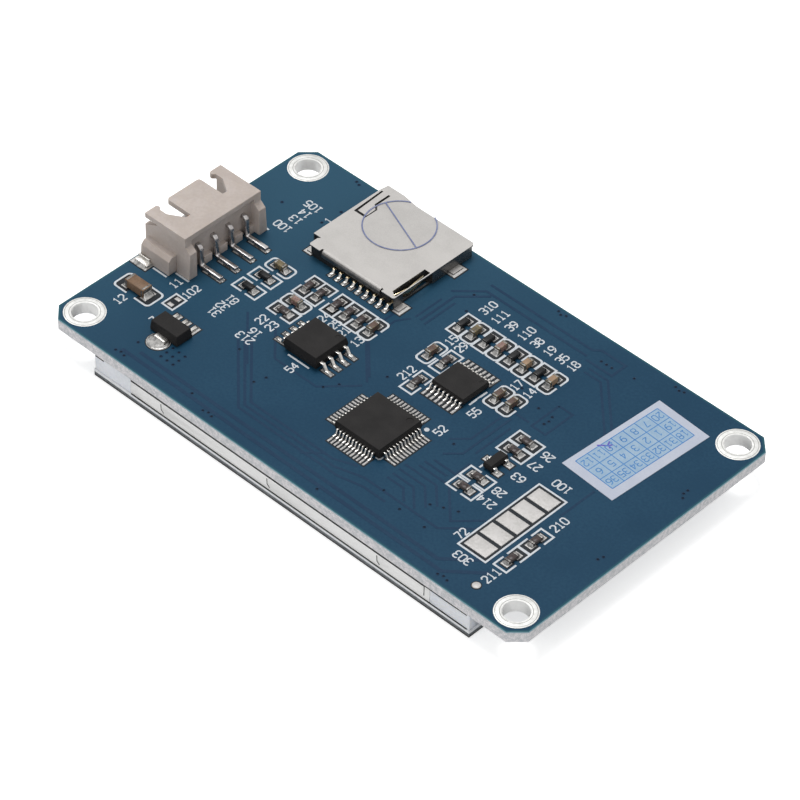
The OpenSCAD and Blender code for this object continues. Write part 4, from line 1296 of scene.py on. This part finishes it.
DIGITS: dict[str, Sequence[Sequence[Point]]] = {
    "0": (((0.29, 0), (0.14, 0), (0, 0.18), (0, 0.82), (0.14, 1), (0.44, 1), (0.58, 0.82), (0.58, 0.18),
           (0.44, 0), (0.29, 0)),),
    "1": (((0.1, 0.8), (0.3, 1), (0.3, 0)), ((0.08, 0), (0.52, 0))),
    "2": (((0, 0.8), (0.14, 1), (0.44, 1), (0.58, 0.84), (0.58, 0.62), (0, 0.02)), ((0, 0), (0.58, 0))),
    "3": (((0, 0.88), (0.14, 1), (0.44, 1), (0.58, 0.86), (0.58, 0.66), (0.42, 0.53), (0.2, 0.53)),
          ((0.42, 0.53), (0.58, 0.4), (0.58, 0.14), (0.44, 0), (0.14, 0), (0, 0.14))),
    "4": (((0.44, 0), (0.44, 1)), ((0.44, 1), (0, 0.32)), ((0, 0.3), (0.6, 0.3))),
    "5": (((0.56, 1), (0.04, 1), (0.02, 0.56), (0.4, 0.6), (0.58, 0.46), (0.58, 0.16), (0.42, 0), (0.14, 0),
           (0, 0.14)),),
    "6": (((0.5, 1), (0.2, 0.9), (0, 0.6), (0, 0.16), (0.14, 0), (0.44, 0), (0.58, 0.16), (0.58, 0.42),
           (0.44, 0.56), (0.14, 0.56), (0, 0.44)),),
    "7": (((0, 1), (0.58, 1)), ((0.58, 1), (0.2, 0))),
    "8": (((0.14, 0.54), (0.02, 0.68), (0.02, 0.86), (0.14, 1), (0.44, 1), (0.56, 0.86), (0.56, 0.68),
           (0.44, 0.54), (0.14, 0.54), (0, 0.4), (0, 0.14), (0.14, 0), (0.44, 0), (0.58, 0.14), (0.58, 0.4),
           (0.44, 0.54)),),
    "9": (((0.08, 0), (0.38, 0.1), (0.58, 0.4), (0.58, 0.84), (0.44, 1), (0.14, 1), (0, 0.84), (0, 0.58),
           (0.14, 0.44), (0.44, 0.44), (0.58, 0.56)),),
}


@dataclass
class Lettering:
    """Plain numbers drawn with a round-tipped pen."""

    height: float = 1.08
    pen: float = 0.17
    gap: float = 0.19

    def write(self, forge: Forge, text: str, at: Point, turn: float, z: float, lift: float,
              finish: Finish) -> None:
        """Draws a number.

        Args:
            forge: the piece that it belongs to.
            text: the number.
            at: its middle on the board, in millimetres.
            turn: its turn in degrees.
            z: the surface's height in metres.
            lift: the ink's thickness in metres.
            finish: the ink.
        """
        pitch = (0.58 + self.gap) * self.height
        start = -((len(text) - 1) * pitch + 0.58 * self.height) / 2
        cos, sin = math.cos(math.radians(turn)), math.sin(math.radians(turn))
        for place, digit in enumerate(text):
            for line in DIGITS[digit]:
                points = []
                for x, y in line:
                    u = start + place * pitch + x * self.height
                    v = (y - 0.5) * self.height
                    points.append((at[0] + u * cos - v * sin, at[1] + u * sin + v * cos))
                forge.strip(points, self.pen, z, lift, finish)


@dataclass
class BoardPrint:
    """The white numbers beside the parts, and the small marks between them."""

    lift: float = 0.03
    lettering: Lettering = field(default_factory=Lettering)
    dot_lift: float = 0.036
    spare_bar: Point = (7.2, -14.0)
    spare_reach: float = 0.6
    numbers: Sequence[tuple[str, float, float, float]] = (
        ("11", -30.3, -7.45, 90), ("102", -27.9, -7.25, 90), ("12", -32.9, -14.0, 90),
        ("105", -28.65, 13.7, 180), ("14", -28.45, 12.1, 180), ("13", -28.45, 10.55, 180),
        ("100", -28.7, 8.6, 180), ("1", -25.5, 13.2, 90), ("7", -27.5, -13.7, 90),
        ("310", -1.45, 15.3, 90), ("111", 0.6, 15.15, 90), ("39", 2.65, 14.9, 90),
        ("110", 4.7, 15.2, 90), ("38", 6.65, 14.9, 90), ("19", 8.65, 14.9, 90), ("35", 10.55, 14.9, 90),
        ("18", 12.3, 14.9, 90), ("15", -0.65, 8.2, 90), ("29", 1.0, 8.1, 90), ("17", 9.85, 7.95, 90),
        ("14", 11.8, 8.0, 90), ("212", -0.5, 0.55, 90), ("55", 9.55, 1.15, 90), ("52", 8.85, -3.7, 90),
        ("81", -23.6, -4.85, 180), ("32", -23.6, -6.35, 180), ("31", -23.55, -7.8, 180),
        ("22", -18.7, -4.8, 90), ("23", -17.05, -4.8, 90), ("16", -17.65, -6.95, 180),
        ("213", -17.8, -8.4, 180), ("54", -10.4, -8.15, 90), ("26", 20.35, 1.7, 180),
        ("27", 20.35, -0.4, 180), ("63", 20.3, -3.1, 180), ("28", 20.35, -6.3, 180),
        ("214", 20.35, -8.4, 180), ("100", 24.7, -0.7, 180), ("303", 24.5, -16.6, 180),
        ("72", 21.8, -13.95, 90), ("210", 28.55, -5.35, 90), ("211", 28.55, -16.4, 90),
        ("13", -8.2, 0.3, 90), ("24", -13.85, 0.6, 90), ("25", -12.1, 0.6, 90), ("21", -10.5, 0.4, 90),
    )

    def build(self) -> None:
        """Draws the numbers and the marks."""
        forge = Forge("board_numbers")
        for text, x, y, turn in self.numbers:
            self.lettering.write(forge, text, (x, y), turn, BOARD_TOP, self.lift * MM, INK)
        forge.disc((7.65, -4.65), 0.32, BOARD_TOP, self.dot_lift * MM, INK, 0.0, 20)
        forge.strip(((6.7, -11.95), (7.15, -11.95), (7.3, -11.8), (7.3, -11.35)), 0.2, BOARD_TOP,
                    self.lift * MM, INK)
        forge.strip(((8.2, 2.2), (8.2, 4.4)), 0.2, BOARD_TOP, self.lift * MM, INK)
        forge.piece(slot="white_ink")
        self.outlines()
        LOG.info("printed the board")

    def outlines(self) -> None:
        """Copies the outlines of the parts, but for a short bar that the real board lacks."""
        bm = node_mesh("printed_outlines")
        x, y = self.spare_bar
        reach = self.spare_reach * MM
        spare = [v for v in bm.verts if math.hypot(v.co.x - x * MM, v.co.y - y * MM) < reach]
        bmesh.ops.delete(bm, geom=spare, context="VERTS")
        finish_piece("printed_frames", bm, [INK], ["printed_outlines"])


@dataclass
class SolderWork:
    """Crowned tin on every pad."""

    inset: float = 0.04
    edge: float = 0.02
    crown: float = 0.035
    corner: float = 0.12

    def build(self) -> None:
        """Adds the tin over the flat pads."""
        dress("solder_pads", TINNED_PAD)
        forge = Forge("pad_tin")
        for pad in pads():
            shrink = Vector((self.inset * MM, self.inset * MM, 0))
            low, high = pad.low + shrink, pad.high - shrink
            low.z, high.z = pad.high.z, pad.high.z + self.edge * MM
            half = min(high.x - low.x, high.y - low.y) / 2
            radius = 0.98 * half if pad.round else min(self.corner * MM, 0.6 * half)
            forge.slab(Box(low, high), radius, self.crown * MM, SOLDER if half > 1.3 * MM else TINNED_PAD)
        forge.piece(slot="solder")
        LOG.info("tinned the pads")


@dataclass
class MountingHoles:
    """The plated rings of the four holes, with fine lines pressed into them."""

    edge: float = 0.09
    lines: Sequence[float] = (0.94, 0.74)
    line: float = 0.07
    lift: float = 0.002

    def build(self) -> None:
        """Rounds the rings' edges."""

        def kind(face: bmesh.types.BMFace) -> int:
            """Is 0 for the flat rings and 1 for the walls of the holes, which get a brighter copy of the plating as
            painted reflection.
            """
            return 0 if abs(face.normal.z) > 0.7 else 1

        # the holes' walls take the brighter copy of the plating: painted reflection
        softened("hole_plating", RING, self.edge, "hole_rings", 3, kind, (RING_WALL_SHEEN,))
        forge = Forge("ring_lines")
        for ring in solids_of("hole_plating"):
            at = (ring.centre.x / MM, ring.centre.y / MM)
            reach = ring.size.x / 2 / MM
            for share in self.lines:
                radius = reach * share
                forge.disc(at, radius, ring.high.z, self.lift * MM, RING_LINE, radius - self.line, 48)
        forge.piece(slot="plating")
        LOG.info("built the hole rings")


# ---------------------------------------------------------------- chips


class ChipKind(Enum):
    """The kinds of two-ended chips."""

    CAPACITOR = "capacitor"
    RESISTOR = "resistor"
    DIODE = "diode"
    BULK = "bulk"


@dataclass
class ChipParts:
    """The small two-ended parts: a body, its metal ends and their solder."""

    kind: ChipKind
    nodes: Sequence[str]
    slot: str
    bodies: Sequence[Finish]
    end_length: float
    edge: float = 0.07
    skin: float = 0.02
    solder_reach: float = 0.42
    solder_rise: float = 0.7

    def build(self) -> None:
        """Makes every part of this kind as one piece."""
        forge = Forge(f"chip_{self.kind.value}s")
        for place, node in enumerate(self.nodes):
            for box in solids_of(node):
                self.chip(forge, box, self.bodies[place % len(self.bodies)])
        forge.piece(self.nodes, self.slot)

    def chip(self, forge: Forge, box: Box, body: Finish) -> None:
        """Makes one part in the box of its CAD solid.

        Args:
            forge: the piece that it belongs to.
            box: the CAD solid's box.
            body: the material between its metal ends.
        """
        along = 1 if box.along_y else 0
        across = 1 - along
        end = self.end_length * MM
        skin = self.skin * MM
        low, high = box.low.copy(), box.high.copy()
        low[along] += 0.4 * end
        high[along] -= 0.4 * end
        low[across] += skin
        high[across] -= skin
        low.z += skin
        high.z -= skin
        rounded_block(forge, low, high, self.edge * MM * 0.8, body)
        for side in (-1, 1):
            cap_low, cap_high = box.low.copy(), box.high.copy()
            if side < 0:
                cap_high[along] = box.low[along] + end
            else:
                cap_low[along] = box.high[along] - end
            rounded_block(forge, cap_low, cap_high, self.edge * MM, TERMINAL, 3)
            foot = box.centre.copy()
            foot[along] = box.low[along] if side < 0 else box.high[along]
            foot.z = box.low.z
            out = (0.0, float(side)) if along else (float(side), 0.0)
            rise = min(self.solder_rise * box.size.z, 0.6 * MM)
            width = box.size[across] * 1.02
            solder_wedge(forge, foot, out, width, self.solder_reach * MM, rise, SOLDER)
        if self.kind is ChipKind.RESISTOR:
            top_low, top_high = low.copy(), high.copy()
            top_low[along] = box.low[along] + end * 0.95
            top_high[along] = box.high[along] - end * 0.95
            top_low.z, top_high.z = high.z - skin, box.high.z
            rounded_block(forge, top_low, top_high, 0.018 * MM, GLAZE, 1)


@dataclass
class Package:
    """A moulded chip package with its row or rows of leads."""

    name: str
    edge: float = 0.06
    lead_edge: float = 0.03
    toe_reach: float = 0.28
    toe_rise: float = 0.14
    body_finish: Finish = EPOXY

    def build(self) -> None:
        """Rounds the body and the leads and solders the toes."""
        softened(f"{self.name}_body", self.body_finish, self.edge, smooth=False)
        softened(f"{self.name}_leads", LEAD, self.lead_edge)
        body = Box.of(f"{self.name}_body")
        forge = Forge(f"{self.name}_solder")
        for lead in solids_of(f"{self.name}_leads"):
            self.toe(forge, body, lead)
        forge.piece(slot="solder")
        LOG.info("built the %s", self.name)

    def toe(self, forge: Forge, body: Box, lead: Box) -> None:
        """Solders the outer end of one lead to its pad.

        Args:
            forge: the piece that it belongs to.
            body: the package body's box.
            lead: the lead's box.
        """
        gap = lead.centre - body.centre
        reach = body.size / 2
        along = 0 if abs(gap.x) / reach.x > abs(gap.y) / reach.y else 1
        side = 1.0 if gap[along] > 0 else -1.0
        foot = lead.centre.copy()
        foot[along] = lead.high[along] if side > 0 else lead.low[along]
        foot.z = lead.low.z
        out = (side, 0.0) if along == 0 else (0.0, side)
        width = lead.size[1 - along] * 1.15
        solder_wedge(forge, foot, out, width, self.toe_reach * MM, self.toe_rise * MM, SOLDER)


# ---------------------------------------------------------------- connectors


@dataclass
class WireConnector:
    """The shrouded housing with its four bent pins and two solder tabs."""

    edge: float = 0.09
    pin_edge: float = 0.08
    solder_reach: float = 0.5
    solder_rise: float = 0.35

    def build(self) -> None:
        """Makes the housing, the pins, the tabs and their solder."""
        softened("wire_housing", NYLON, self.edge, "connector_housing", 2)
        softened("wire_pins", PIN, self.pin_edge, "connector_pins", 2)
        softened("wire_solder_tabs", LEAD, 0.05, "connector_tabs", 2)
        forge = Forge("connector_solder")
        for pin in solids_of("wire_pins"):
            foot = Vector((pin.high.x - 0.1 * MM, pin.centre.y, pin.low.z))
            solder_wedge(forge, foot, (1.0, 0.0), pin.size.y * 0.9, 0.45 * MM, 0.25 * MM, SOLDER)
            # painted shade: the solder along each foot's sides takes the darker terminal metal, for the feet's dark
            # sides
            for side in (-1.0, 1.0):
                flank = Vector((pin.high.x - 1.2 * MM, pin.centre.y + side * pin.size.y / 2, pin.low.z))
                solder_wedge(forge, flank, (0.0, side), 1.6 * MM, 0.1 * MM, 0.16 * MM, TERMINAL)
        for tab in solids_of("wire_solder_tabs"):
            side = -1.0 if tab.centre.y < 0 else 1.0
            edge_y = tab.low.y if side < 0 else tab.high.y
            foot = Vector((tab.centre.x, edge_y, tab.low.z))
            solder_wedge(forge, foot, (0.0, side), tab.size.x * 0.9, self.solder_reach * MM,
                         self.solder_rise * MM, SOLDER)
        forge.piece(slot="solder")
        LOG.info("built the wire connector")


@dataclass
class CardSocket:
    """The card socket: black base, folded shell, tails and the round seal."""

    shell_edge: float = 0.12
    base_edge: float = 0.06
    seal_centre: Point = (-17.5, 17.0)
    seal_radius: float = 4.45
    seal_line: float = 0.17
    ink_lift: float = 0.004

    def build(self) -> None:
        """Makes the shell, the base, the tails and the seal."""
        softened("socket_base", BASE_RESIN, self.base_edge, "card_base", 2)

        def side(face: bmesh.types.BMFace) -> int:
            """Is 0 for the shell's top and feet and 1 for its steep sides, which get a darker copy of the sheet as
            painted shade.
            """
            return 1 if abs(face.normal.z) < 0.8 else 0

        # the steep sides take the darker copy of the sheet: painted shade
        softened("socket_shell", SHELL, self.shell_edge, "card_shell", 3, side,
                 (SHELL_SIDE_SHADE,), smooth=False)
        front = Box.of("socket_base").low.y

        def kind(face: bmesh.types.BMFace) -> int:
            """Is 0 for the gold springs and 1 for their tinned tails."""
            return 1 if face.calc_center_median().y < front + 0.2 * MM else 0

        softened("card_contacts", CONTACT, 0.03, "card_springs", 1, kind, (LEAD,))
        softened("card_switch", CONTACT, 0.03, "card_finger", 1, kind, (LEAD,))
        forge = Forge("card_solder")
        for tail in [*solids_of("card_contacts"), *solids_of("card_switch")]:
            foot = Vector((tail.centre.x, tail.low.y, tail.low.z))
            solder_wedge(forge, foot, (0.0, -1.0), tail.size.x * 1.25, 0.35 * MM, 0.18 * MM, SOLDER)
        forge.piece(slot="solder")
        self.seal()
        LOG.info("built the card socket")

    def seal(self) -> None:
        """Prints the seal's ring and the line across it."""
        bm = node_mesh("inspection_seal")
        bmesh.ops.delete(bm, geom=[f for f in bm.faces if f.normal.z < -0.5], context="FACES")
        finish_piece("round_seal", bm, [SEAL_FILM], ["inspection_seal"])
        top = Box.of("inspection_seal")
        z = top.high.z
        forge = Forge("seal_print")
        sides = 96
        steps = []
        for k in range(sides + 1):
            angle = 2 * math.pi * k / sides
            point = (
                self.seal_centre[0] + self.seal_radius * math.cos(angle),
                self.seal_centre[1] + self.seal_radius * math.sin(angle),
            )
            if point[1] * MM < top.high.y - 0.1 * MM:
                steps.append(point)
            elif len(steps) > 1:
                forge.strip(steps, self.seal_line, z, self.ink_lift * MM, STAMP_INK)
                steps = []
            else:
                steps = []
        if len(steps) > 1:
            forge.strip(steps, self.seal_line, z, self.ink_lift * MM, STAMP_INK)
        forge.strip(((-21.55, 18.8), (-13.35, 15.5)), self.seal_line, z, self.ink_lift * MM, STAMP_INK)
        forge.piece(slot="seal_paper")


@dataclass
class DateLabel:
    """The paper label with its printed grid of plain numbers."""

    centre: Point = (26.6, 9.6)
    turn: float = -3.6
    columns: int = 3
    rows: int = 7
    grid: tuple[float, float] = (5.9, 13.0)
    grid_shift: Point = (-0.25, 0.1)
    line: float = 0.11
    ink_lift: float = 0.006
    lettering: Lettering = field(default_factory=lambda: Lettering(0.95, 0.11, 0.22))

    def place(self, u: float, v: float) -> Point:
        """Turns a place on the label into one on the board.

        Args:
            u: the place along the label, in millimetres.
            v: the place across it, in millimetres.

        Returns:
            The place on the board, in millimetres.
        """
        angle = math.radians(self.turn)
        x = u + self.grid_shift[0]
        y = v + self.grid_shift[1]
        return (
            self.centre[0] + x * math.cos(angle) - y * math.sin(angle),
            self.centre[1] + x * math.sin(angle) + y * math.cos(angle),
        )

    def build(self) -> None:
        """Dresses the paper and prints the grid, the numbers and a pen mark."""
        dress("date_label", PAPER)
        z = Box.of("date_label").high.z
        lift = self.ink_lift * MM
        forge = Forge("label_print")
        half_u, half_v = self.grid[0] / 2, self.grid[1] / 2
        forge.strip((self.place(0, -half_v), self.place(0, half_v)), self.grid[0], z, 0.3 * lift, CELL_INK)
        for i in range(self.columns + 1):
            u = -half_u + self.grid[0] * i / self.columns
            forge.strip((self.place(u, -half_v), self.place(u, half_v)), self.line, z, lift, PALE_INK)
        for j in range(self.rows + 1):
            v = -half_v + self.grid[1] * j / self.rows
            forge.strip((self.place(-half_u, v), self.place(half_u, v)), self.line, z, lift, PALE_INK)
        for i in range(self.columns):
            for j in range(self.rows):
                u = -half_u + self.grid[0] * (i + 0.5) / self.columns
                v = half_v - self.grid[1] * (j + 0.5) / self.rows
                number = str((20 - i) if j == 0 else (j + 6 * (1 - i) if i < 2 else j + 30))
                self.lettering.write(forge, number, self.place(u, v), self.turn - 90, z, lift, PALE_INK)
        tail = ((24.2, 8.3), (23.9, 7.8), (23.5, 7.5), (23.0, 7.0))
        forge.strip(tail, 0.2, z + lift, lift, PEN_INK)
        forge.strip(((23.6, 8.5), (23.8, 8.0), (24.4, 7.7)), 0.18, z + lift, lift, PEN_INK)
        forge.piece(slot="label_paper")
        LOG.info("built the date label")


# ---------------------------------------------------------------- display


@dataclass
class DisplayPanel:
    """The display under the board, from its touch face up to the steel tray."""

    corner: float = 6.8
    depth: float = 0.16
    clips: Sequence[float] = (-18.5, -1.3, 15.9)
    finishes: Sequence[tuple[str, Finish]] = (
        ("touch_film", TOUCH_FACE), ("touch_glass", TOUCH_EDGE), ("touch_tail", FLEX),
        ("panel_gasket", GASKET), ("front_polariser", POLARISER), ("cell_front_glass", CELL_GLASS),
        ("cell_rear_glass", CELL_GLASS), ("rear_polariser", POLARISER), ("driver_chip", SILICON),
        ("display_ribbon", FLEX), ("diffuser_sheets", GUIDE), ("light_guide", GUIDE),
        ("backlight_leds", LED), ("reflector_sheet", GUIDE), ("mounting_tape", TAPE),
    )

    def build(self) -> None:
        """Dresses the layers and rounds the frame and the tray."""
        for node, finish in self.finishes:
            dress(node, finish)
        softened("light_frame", FRAME_PLASTIC, 0.06, "moulded_frame", 2)
        softened("steel_tray", TRAY_STEEL, 0.03, "pressed_tray", 1)
        self.seams()
        LOG.info("built the display panel")

    def seams(self) -> None:
        """Fills the gaps between the layers with dark bars: the tape's edge, partly real tape and partly painted
        shadow, and painted shadow at the tray's ends and in its clips.
        """
        tray, tape, frame_box = Box.of("steel_tray"), Box.of("mounting_tape"), Box.of("light_frame")
        side = tray.high.y / MM
        wall_low, wall_high = tape.low.x / MM - 0.25, frame_box.high.x / MM - self.corner
        bottom, top = tray.low.z / MM, tape.high.z / MM
        forge = Forge("panel_shadow_seams")
        for s in (-1, 1):
            # the tape's edge carried out to the panel's face and down past the tape, and again near the frame's end:
            # real black tape, partly painted shadow gap
            self.bar(forge, (wall_low, wall_high), s * (side + 0.06), (tape.low.z / MM - 0.16, top), TAPE)
            self.bar(forge, (wall_high, frame_box.high.x / MM - 0.4), s * (side + 0.04),
                     (top - 0.28, top - 0.02), TAPE)
            # dark bars of painted shadow in the gaps at the frame's end, along the tray's lower edge and at the
            # tray's end
            self.bar(forge, (frame_box.low.x / MM + 0.1, frame_box.low.x / MM + 1.5), s * (side + 0.04),
                     (top - 0.3, top - 0.1), SHADOW_SEAM)
            self.bar(forge, (wall_low, frame_box.high.x / MM - 0.3), s * (side + 0.112),
                     (bottom - 0.03, bottom + 0.06), SHADOW_SEAM)
            self.bar(forge, (wall_high - 0.05, wall_high + 0.05), s * (side + 0.03),
                     (bottom + 0.55, top - 0.2), SHADOW_SEAM)
            # each clip slit is filled with painted shade
            for clip in self.clips:
                self.slit(forge, clip, s * side, bottom, tape.low.z / MM - bottom)
        forge.piece(slot="black_tape")

    def bar(self, forge: Forge, x: Point, y: float, z: Point, finish: Finish) -> None:
        """Adds a thin bar along the panel's side; its reach in X and Z is in millimetres.

        Args:
            forge: the piece that it belongs to.
            x: its two ends along X.
            y: the place of its outer face.
            z: its two edges in height.
            finish: its material.
        """
        inner = y - math.copysign(self.depth, y)
        near, far = min(y, inner), max(y, inner)
        corners = [(x[0], near), (x[1], near), (x[1], far), (x[0], far)]
        forge.prism([Vector((u * MM, v * MM, z[0] * MM)) for u, v in corners], (z[1] - z[0]) * MM, finish)

    def slit(self, forge: Forge, x: float, y: float, z: float, height: float) -> None:
        """Paints the shade inside one L-shaped slit of the tray's wall, all in millimetres.

        Args:
            forge: the piece that it belongs to.
            x: the slit's place along the wall.
            y: the wall's outer face.
            z: the wall's lower edge.
            height: the wall's height.
        """
        shape = ((0.0, 0.78), (0.14, 0.78), (0.16, 0.4), (0.5, 0.22), (0.46, 0.14), (0.03, 0.33))
        faces = (y - math.copysign(self.depth, y), y - math.copysign(0.01, y))
        outlines = [
            [Vector(((x + u) * MM, level * MM, (z + v * height) * MM)) for u, v in shape]
            for level in faces
        ]
        forge.rings(outlines, SHADOW_SEAM, smooth=False)


# ---------------------------------------------------------------- all


def numbered(stem: str, count: int) -> list[str]:
    """Names a numbered row of nodes."""
    return [f"{stem}_{i}" for i in range(1, count + 1)]


def main() -> None:
    """Builds the display module."""
    logging.basicConfig(level=logging.INFO, format="%(message)s")
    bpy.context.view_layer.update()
    Studio().build()
    assemblies = [
        DisplayPanel(),
        CircuitBoard(),
        BoardPrint(),
        SolderWork(),
        MountingHoles(),
        ChipParts(ChipKind.CAPACITOR, numbered("capacitor", 10), "capacitor_ceramic",
                  (CERAMIC_OLIVE, CERAMIC_ROSE, CERAMIC_SAND, CERAMIC_SAND, CERAMIC_BROWN,
                   CERAMIC_BROWN, CERAMIC_BROWN, CERAMIC_BROWN, CERAMIC_ROSE, CERAMIC_OLIVE), 0.34),
        ChipParts(ChipKind.RESISTOR, numbered("resistors", 8), "resistor_black", (ALUMINA,), 0.3,
                  edge=0.05),
        ChipParts(ChipKind.DIODE, ["diodes"], "diode_black", (DIODE_RESIN,), 0.2, edge=0.14),
        ChipParts(ChipKind.BULK, ["bulk_capacitor"], "bulk_ceramic", (CERAMIC_BULK,), 0.5, edge=0.12,
                  solder_reach=0.6),
        Package("controller"),
        Package("buffer"),
        Package("memory", toe_reach=0.4, toe_rise=0.25),
        Package("regulator", edge=0.1, toe_reach=0.45, toe_rise=0.3),
        Package("transistor", toe_reach=0.35, toe_rise=0.2),
        WireConnector(),
        CardSocket(),
        DateLabel(),
    ]
    for assembly in assemblies:
        assembly.build()


if __name__ == "__main__":
    main()
